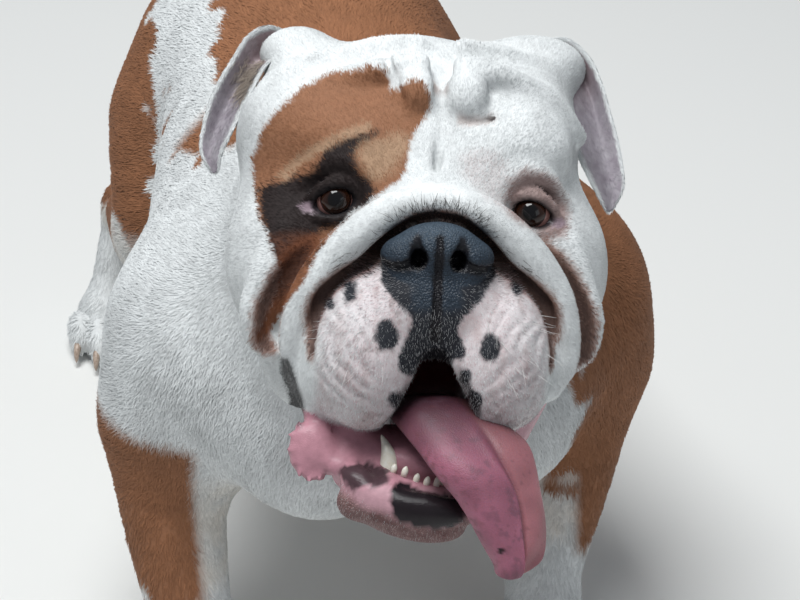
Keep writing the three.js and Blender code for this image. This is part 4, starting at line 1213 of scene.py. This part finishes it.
furred = np.clip(1 - skinMarks["bare"], 0, 1) * ramp(skinVerts[:, 2], 1.5, 5)
isHead = skinMarks["onHead"] > 0.5
isFace = isHead & (inHead(skinVerts)[:, 1] < 40)
isLeg = ~isHead & (skinVerts[:, 2] < 170)
isNeck = ~isHead & ~isLeg & (skinVerts[:, 1] < -60) & (skinVerts[:, 2] > 300)
isChest = ~isHead & ~isLeg & ~isNeck & (skinVerts[:, 1] < -40)
isRump = ~isHead & ~isLeg & (skinVerts[:, 1] > 170)
isFlank = ~isHead & ~isLeg & ~isNeck & ~isChest & ~isRump
regions = {
    "coat_face": (isFace, headUnwrap),
    "coat_skull": (isHead & ~isFace, headUnwrap),
    "coat_neck": (isNeck, lambda p: roundUnwrap(p, (0, -100, 340), 1, -160, 160)),
    "coat_chest": (isChest, lambda p: roundUnwrap(p, (0, -80, 260), 1, -180, 80)),
    "coat_flanks": (isFlank, lambda p: roundUnwrap(p, (0, 60, 290), 1, -120, 130)),
    "coat_rump": (isRump, lambda p: roundUnwrap(p, (0, 240, 280), 1, -90, 170)),
    "coat_legs": (isLeg, lambda p: roundUnwrap(p, (0, 60, 0), 2, 0, 190)),
}
coatPieces = []
nearNose = ramp(-np.linalg.norm(skinVerts - nosePoint, axis=1), -120, -40)
for name, (where, unwrap) in regions.items():
    count, long, wide = coat[name]
    share = where * furred * (1 + 1.2 * nearNose)
    roots, corners, parts = rootsOn(skinVerts, skinQuads, share, count)
    normals = unit(blend3(skinNormals, corners, parts))
    marks = markingsOf(roots.astype(np.float32), normals, draw.uniform(-1, 1, count))
    lengths = long * (1 - 0.5 * blend3(nearNose, corners, parts)) * (0.75 + 0.5 * noiseAt(roots, 30, 31))
    widths = wide * (1 - 0.4 * blend3(nearNose, corners, parts))
    coatPieces.append(tuftPiece(name, roots, normals, lieOf(roots, marks["onHead"]), lengths, widths,
                                marks["tone"], unwrap(roots)))
    print(name, count, "tufts")

count, long, wide = coat["coat_ears"]
count = count // 2
for name, ear in earParts.items():
    roots, corners, parts = rootsOn(ear["verts"], ear["quads"], ear["fur"], count)
    normals = unit(blend3(normalsOf(ear["verts"], ear["quads"]), corners, parts))
    coatPieces.append(tuftPiece(
        f"coat_ear_{name}", roots, normals, ear["along"][corners[:, 0]], np.full(count, long),
        np.full(count, wide), blend3(ear["tone"], corners, parts), earUnwrap(roots)))
print("coat")


# Materials
def feed(tree, node, inputs):
    # gives each named input a value, or the output of another node
    for name, value in inputs.items():
        if isinstance(value, bpy.types.NodeSocket):
            tree.links.new(value, node.inputs[name])
        else:
            node.inputs[name].default_value = value


def addNode(tree, kind, inputs={}, **settings):
    node = tree.nodes.new(kind)
    for name, value in settings.items():
        setattr(node, name, value)
    feed(tree, node, inputs)
    return node


def newMaterial(name, **values):
    material = bpy.data.materials.new(name)
    material.use_nodes = True
    return material, material.node_tree, material.node_tree.nodes["Principled BSDF"]


def attributeOf(tree, name, output="Fac"):
    return addNode(tree, "ShaderNodeAttribute", attribute_name=name).outputs[output]


def mathOf(tree, operation, first, second):
    return addNode(tree, "ShaderNodeMath", {0: first, 1: second}, operation=operation).outputs[0]


def patternOf(tree, kind, scale, **more):
    # a pattern on the object's own coordinates
    place = addNode(tree, "ShaderNodeTexCoord").outputs["Object"]
    return addNode(tree, f"ShaderNodeTex{kind}", {"Vector": place, "Scale": scale, **more})


def grainOf(tree, scale, detail=2.0):
    return patternOf(tree, "Noise", scale, Detail=detail).outputs[0]


def multiplied(tree, colour, factor, low, high):
    # a colour made darker and lighter by a factor from 0 to 1
    spread = addNode(tree, "ShaderNodeMapRange", {"Value": factor, "To Min": low, "To Max": high}).outputs[0]
    return addNode(tree, "ShaderNodeVectorMath", {0: colour, "Scale": spread}, operation="SCALE").outputs[0]


def rampOf(tree, factor, stops):
    node = addNode(tree, "ShaderNodeValToRGB", {0: factor})
    elements = node.color_ramp.elements
    for i, (position, colour) in enumerate(stops):
        element = elements[i] if i < 2 else elements.new(position)
        element.position = position
        element.color = (*colour, 1)
    return node.outputs[0]


def bumped(tree, height, distance, strength, invert=False, **before):
    inputs = {"Height": height, "Distance": distance, "Strength": strength, **before}
    return addNode(tree, "ShaderNodeBump", inputs, invert=invert).outputs[0]


def skinMaterial():
    material, tree, shader = newMaterial("dogSkin")
    pebble = attributeOf(tree, "pebble")
    cells = patternOf(tree, "Voronoi", 850).outputs["Distance"]
    colour = multiplied(tree, attributeOf(tree, "tone", "Color"), grainOf(tree, 260), 0.80, 1.18)
    # painted highlights: the pebbles are made paler at their crowns, as if they caught the light
    pebbleHighlights = mathOf(tree, "MULTIPLY", mathOf(tree, "SUBTRACT", 0.4, cells), pebble)
    pores = bumped(tree, grainOf(tree, 1400, 4), 0.0004, 0.5)
    feed(tree, shader, {
        "Base Color": multiplied(tree, colour, pebbleHighlights, 1.0, 3.2),
        "Roughness": addNode(tree, "ShaderNodeMapRange", {
            "Value": attributeOf(tree, "wet"), "To Min": 0.72, "To Max": 0.16}).outputs[0],
        "Normal": bumped(tree, mathOf(tree, "MULTIPLY", cells, pebble), 0.0008, 0.8, True, Normal=pores),
        "Specular IOR Level": 0.25,
    })
    return material


def coatMaterial():
    material, tree, shader = newMaterial("shortCoat")
    feed(tree, shader, {
        "Base Color": multiplied(tree, attributeOf(tree, "tone", "Color"), grainOf(tree, 900), 0.86, 1.12),
        "Roughness": 0.62,
        "Specular IOR Level": 0.15,
    })
    return material


def tongueMaterial():
    material, tree, shader = newMaterial("tongueFlesh")
    papillae = patternOf(tree, "Voronoi", 1300).outputs["Distance"]
    feed(tree, shader, {
        "Base Color": multiplied(tree, attributeOf(tree, "tone", "Color"), grainOf(tree, 1100, 3), 0.86, 1.12),
        "Normal": bumped(tree, papillae, 0.0004, 0.35, True),
        "Roughness": 0.46,
        "Specular IOR Level": 0.35,
        "Subsurface Weight": 0.12,
        "Subsurface Scale": 0.004,
    })
    return material


def eyeMaterial():
    # from the pupil outward over the iris to the white
    material, tree, shader = newMaterial("eyeball")
    rings = rampOf(tree, mathOf(tree, "MULTIPLY", attributeOf(tree, "gaze"), 0.93), [
        (0.0, (0.003, 0.003, 0.004)), (0.40, (0.004, 0.003, 0.003)), (0.46, (0.016, 0.006, 0.004)),
        (0.80, (0.036, 0.013, 0.007)), (0.93, (0.008, 0.004, 0.004)), (0.98, (0.09, 0.035, 0.03)),
        (1.0, (0.30, 0.15, 0.13))])
    feed(tree, shader, {
        "Base Color": multiplied(tree, rings, grainOf(tree, 900, 4), 0.7, 1.3),
        "Roughness": 0.08,
        "Specular IOR Level": 0.15,
        "Coat Weight": 0.6,
        "Coat Roughness": 0.03,
    })
    return material


def hornMaterial(name, dark, light, scale, rough):
    material, tree, shader = newMaterial(name)
    grain = grainOf(tree, scale, 4)
    feed(tree, shader, {
        "Base Color": rampOf(tree, grain, [(0.3, dark), (0.7, light)]),
        "Normal": bumped(tree, grain, 0.0003, 0.4),
        "Roughness": rough,
    })
    return material


def bristleMaterial(name, colour):
    # a little darker in places
    material, tree, shader = newMaterial(name)
    darker = [0.8 * part for part in colour]
    feed(tree, shader, {
        "Base Color": rampOf(tree, grainOf(tree, 300), [(0.0, darker), (1.0, colour)]),
        "Roughness": 0.5,
    })
    return material


# Bristles, by Geometry Nodes: whiskers, stubble on the muzzle and chin, dark hairs over the nose and long ones in
# the right ear
bristles = {
    "rings": 4,
    # hairs to a square centimetre, length in millimetres, half thickness and bend as shares of it,
    # how far they stand up from the lie of the coat, how far they turn from it, seed and colour
    "whiskers": {"density": 2.0, "length": 13, "thick": 0.011, "bend": 0.22, "stand": 1.1, "spread": 0.5, "seed": 5,
                 "colour": (0.80, 0.79, 0.77)},
    "stubble": {"density": 60, "length": 2.0, "thick": 0.035, "bend": 0.15, "stand": 0.5, "spread": 0.5, "seed": 6,
                "colour": (0.66, 0.66, 0.67)},
    "fringe": {"density": 70, "length": 6.5, "thick": 0.022, "bend": 0.25, "stand": 0.6, "spread": 0.35, "seed": 8,
               "colour": (0.035, 0.018, 0.012)},
    "ear_hair": {"density": 70, "length": 11, "thick": 0.014, "bend": 0.3, "stand": 0.35, "spread": 0.4, "seed": 7,
                 "colour": (0.42, 0.35, 0.29)},
}


def bristleTree():
    tree = bpy.data.node_groups.new("bristles", "GeometryNodeTree")
    sockets = {"Geometry": "Geometry", "Density": "Float", "Length": "Float", "Stand": "Float", "Spread": "Float",
               "Seed": "Int", "Hair": "Object", "Material": "Material"}
    for name, kind in sockets.items():
        tree.interface.new_socket(name, in_out="INPUT", socket_type="NodeSocket" + kind)
    tree.interface.new_socket("Geometry", in_out="OUTPUT", socket_type="NodeSocketGeometry")
    given = tree.nodes.new("NodeGroupInput").outputs

    def attribute(name, kind):
        return addNode(tree, "GeometryNodeInputNamedAttribute", {"Name": name}, data_type=kind).outputs["Attribute"]

    def vectorMath(operation, first, **more):
        return addNode(tree, "ShaderNodeVectorMath", {0: first, **more}, operation=operation).outputs[0]

    def added(first, second):
        return addNode(tree, "ShaderNodeVectorMath", {0: first, 1: second}, operation="ADD").outputs[0]

    def randomVector(low, high):
        inputs = {0: low, 1: high, "Seed": given["Seed"]}
        return addNode(tree, "FunctionNodeRandomValue", inputs, data_type="FLOAT_VECTOR").outputs[0]

    density = mathOf(tree, "MULTIPLY", attribute("share", "FLOAT"), given["Density"])
    points = addNode(tree, "GeometryNodeDistributePointsOnFaces",
                     {"Mesh": given["Geometry"], "Density": density, "Seed": given["Seed"]}).outputs
    # the way each hair points
    upright = vectorMath("SCALE", points["Normal"], Scale=given["Stand"])
    astray = vectorMath("SCALE", randomVector((-1, -1, -1), (1, 1, 1)), Scale=given["Spread"])
    way = added(added(attribute("lie", "FLOAT_VECTOR"), upright), astray)
    spun = addNode(tree, "FunctionNodeEulerToRotation", {0: randomVector((0, 0, 0), (0, 0, 2 * math.pi))})
    aimed = addNode(tree, "FunctionNodeAlignRotationToVector", {"Rotation": spun.outputs[0], "Vector": way}, axis="Z")
    varied = addNode(tree, "FunctionNodeRandomValue", {2: 0.55, 3: 1.15, "Seed": given["Seed"]}, data_type="FLOAT")
    size = mathOf(tree, "MULTIPLY", varied.outputs[1], given["Length"])
    hair = addNode(tree, "GeometryNodeObjectInfo", {"Object": given["Hair"]}).outputs["Geometry"]
    placed = addNode(tree, "GeometryNodeInstanceOnPoints", {
        "Points": points["Points"], "Instance": hair, "Rotation": aimed.outputs[0], "Scale": size})
    real = addNode(tree, "GeometryNodeRealizeInstances", {"Geometry": placed.outputs["Instances"]})
    coloured = addNode(tree, "GeometryNodeSetMaterial", {
        "Geometry": real.outputs["Geometry"], "Material": given["Material"]})
    addNode(tree, "NodeGroupOutput", {"Geometry": coloured.outputs["Geometry"]})
    return tree


def needle(thick, bend):
    # a hair of length 1 along z, three-sided, closed at its root and tip
    rings = bristles["rings"]
    verts = []
    for i in range(rings):
        t = i / rings
        for turn in (0, 2 * math.pi / 3, 4 * math.pi / 3):
            wide = thick * (1 - 0.75 * t)
            verts.append((wide * math.cos(turn) + bend * t * t, wide * math.sin(turn), t - 0.03))
    verts.append((bend, 0, 1))
    triangles = [(2, 1, 0)]
    for i in range(rings - 1):
        for a, b in ((0, 1), (1, 2), (2, 0)):
            a += 3 * i
            b += 3 * i
            triangles += [(a, b, b + 3), (a, b + 3, a + 3)]
    last = 3 * (rings - 1)
    triangles += [(last, last + 1, last + 3), (last + 1, last + 2, last + 3), (last + 2, last, last + 3)]
    return np.array(verts), np.array(triangles)


def bristlePiece(name, tree, verts, quads, share, lies, unwrap):
    facts = bristles[name]
    kept = quads[share[quads].mean(1) > 0.02]
    used, corners = np.unique(kept, return_inverse=True)
    host = linkMesh(f"{name}_host", toRow(verts[used]), corners.reshape(-1, 4))
    giveNumber(host, "share", share[used])
    layer = host.data.attributes.new("lie", "FLOAT_VECTOR", "POINT")
    layer.data.foreach_set("vector", lies[used].astype(np.float32).reshape(-1))
    hairVerts, hairTriangles = needle(facts["thick"], facts["bend"])
    hair = linkMesh(f"{name}_hair", hairVerts, hairTriangles, corners=3)
    modifier = host.modifiers.new("bristles", "NODES")
    modifier.node_group = tree
    values = {"Density": facts["density"] * 1e4, "Length": facts["length"] / 1000, "Stand": facts["stand"],
              "Spread": facts["spread"], "Seed": facts["seed"], "Hair": hair,
              "Material": bristleMaterial(f"{name}Look", facts["colour"])}
    for socket in tree.interface.items_tree:
        if socket.in_out == "INPUT" and socket.name in values:
            modifier[socket.identifier] = values[socket.name]
    host.update_tag()
    mesh = bpy.data.meshes.new_from_object(host.evaluated_get(bpy.context.evaluated_depsgraph_get()))
    for spent in (host, hair):
        bpy.data.objects.remove(spent)
    mesh.name = name
    piece = linkPiece(name, mesh)
    for extra in ("share", "lie"):
        if extra in mesh.attributes:
            mesh.attributes.remove(mesh.attributes[extra])
    points = np.empty(len(mesh.vertices) * 3, np.float32)
    mesh.vertices.foreach_get("co", points)
    roots = points.reshape(-1, len(hairVerts), 3)[:, :3].mean(1)
    roots = roots * 1000 / dog["lifeScale"] - np.array(dog["middle"])
    heights = hairVerts[:, 2:3]
    offsets = np.concatenate([np.tile([[-1, 0], [1, 0], [0, 0.4]], (bristles["rings"], 1)), [[0, 1]]])
    offsets = (offsets * (1 - 0.7 * heights) + [[0, 1]] * heights) * coat["patch"]
    unwrapTufts(piece, unwrap(roots), offsets)
    print(name, len(roots), "hairs")
    return piece


tree = bristleTree()
skinLie = lieOf(skinVerts, skinMarks["onHead"])
bristlePieces = [bristlePiece(name, tree, skinVerts, skinQuads, skinMarks[name], skinLie, headUnwrap)
                 for name in ("whiskers", "stubble", "fringe")]
ear = earParts["right"]
canal = np.linalg.norm((inHead(ear["verts"]) - (-115, 78, 76)) / (9, 16, 14), axis=1)
bristlePieces.append(bristlePiece("ear_hair", tree, ear["verts"], ear["quads"],
                                  ramp(-canal, -1.5, -0.8) * ear["bare"], ear["along"], earUnwrap))

# What each piece is made of, and what it stands for in the frame
skinLook = skinMaterial()
coatLook = coatMaterial()
eyeLook = eyeMaterial()
enamel = hornMaterial("toothEnamel", (0.80, 0.75, 0.62), (0.88, 0.86, 0.78), 500, 0.25)
horn = hornMaterial("clawHorn", (0.30, 0.22, 0.17), (0.55, 0.44, 0.36), 400, 0.4)
fleshNodes = [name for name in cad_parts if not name.startswith(("eye_", "ear_", "tongue"))]
dressing = [(skinPiece, skinLook, "coat_white", *fleshNodes)]
for name in ("right", "left"):
    dressing.append((earParts[name]["piece"], skinLook, "skin_pink", f"ear_{name}"))
    dressing.append((eyePieces[name], eyeLook, "eye_dark", f"eye_{name}"))
dressing += [
    (tonguePiece, tongueMaterial(), "skin_pink", "tongue"),
    (teethPiece, enamel, "skin_pink"),
    (clawPiece, horn, "nose_black"),
]
dressing += [(piece, coatLook, "coat_white") for piece in coatPieces]
dressing += [(piece, None, "coat_white") for piece in bristlePieces]
for piece, look, slotName, *nodes in dressing:
    if look:
        piece.data.materials.append(look)
    putOn(piece, slotName, *nodes)
print("materials")

# Floor, light and camera
floor = linkMesh("floor", [(-30, -30, 0), (30, -30, 0), (30, 30, 0), (-30, 30, 0)], [(0, 1, 2, 3)], smooth=False)
floorLook, tree, shader = newMaterial("paleFloor")
feed(tree, shader, {"Base Color": (0.80, 0.80, 0.78, 1), "Roughness": 0.9})
floor.data.materials.append(floorLook)

world = bpy.data.worlds.new("studio")
world.use_nodes = True
feed(world.node_tree, world.node_tree.nodes["Background"], {"Color": (0.86, 0.92, 1.0, 1), "Strength": 0.25})
bpy.context.scene.world = world


def addLight(name, place, target, size, watts, colour):
    lamp = bpy.data.lights.new(name, "AREA")
    lamp.size = size
    lamp.energy = watts
    lamp.color = colour
    piece = linkPiece(name, lamp)
    piece.location = place
    piece.rotation_euler = (Vector(target) - Vector(place)).to_track_quat("-Z", "Y").to_euler()


addLight("topLight", (-0.45, -0.15, 2.7), (0, -0.1, 0.3), 1.3, 70, (0.98, 0.995, 1.0))
addLight("fillLight", (1.6, -2.6, 1.5), (0, -0.1, 0.3), 1.5, 5, (0.92, 0.97, 1.0))

camera = bpy.data.cameras.new("photoCamera")
camera.sensor_width = 36
camera.lens = view["focal"] * camera.sensor_width / view["pixelsWide"]
cameraPiece = linkPiece("photoCamera", camera)
turn = np.eye(4)
turn[:3, 0] = across
turn[:3, 1] = upward
turn[:3, 2] = -ahead
turn[:3, 3] = cameraAt
cameraPiece.matrix_world = Matrix(turn.tolist())
bpy.context.scene.camera = cameraPiece
bpy.context.scene.view_settings.view_transform = "Standard"
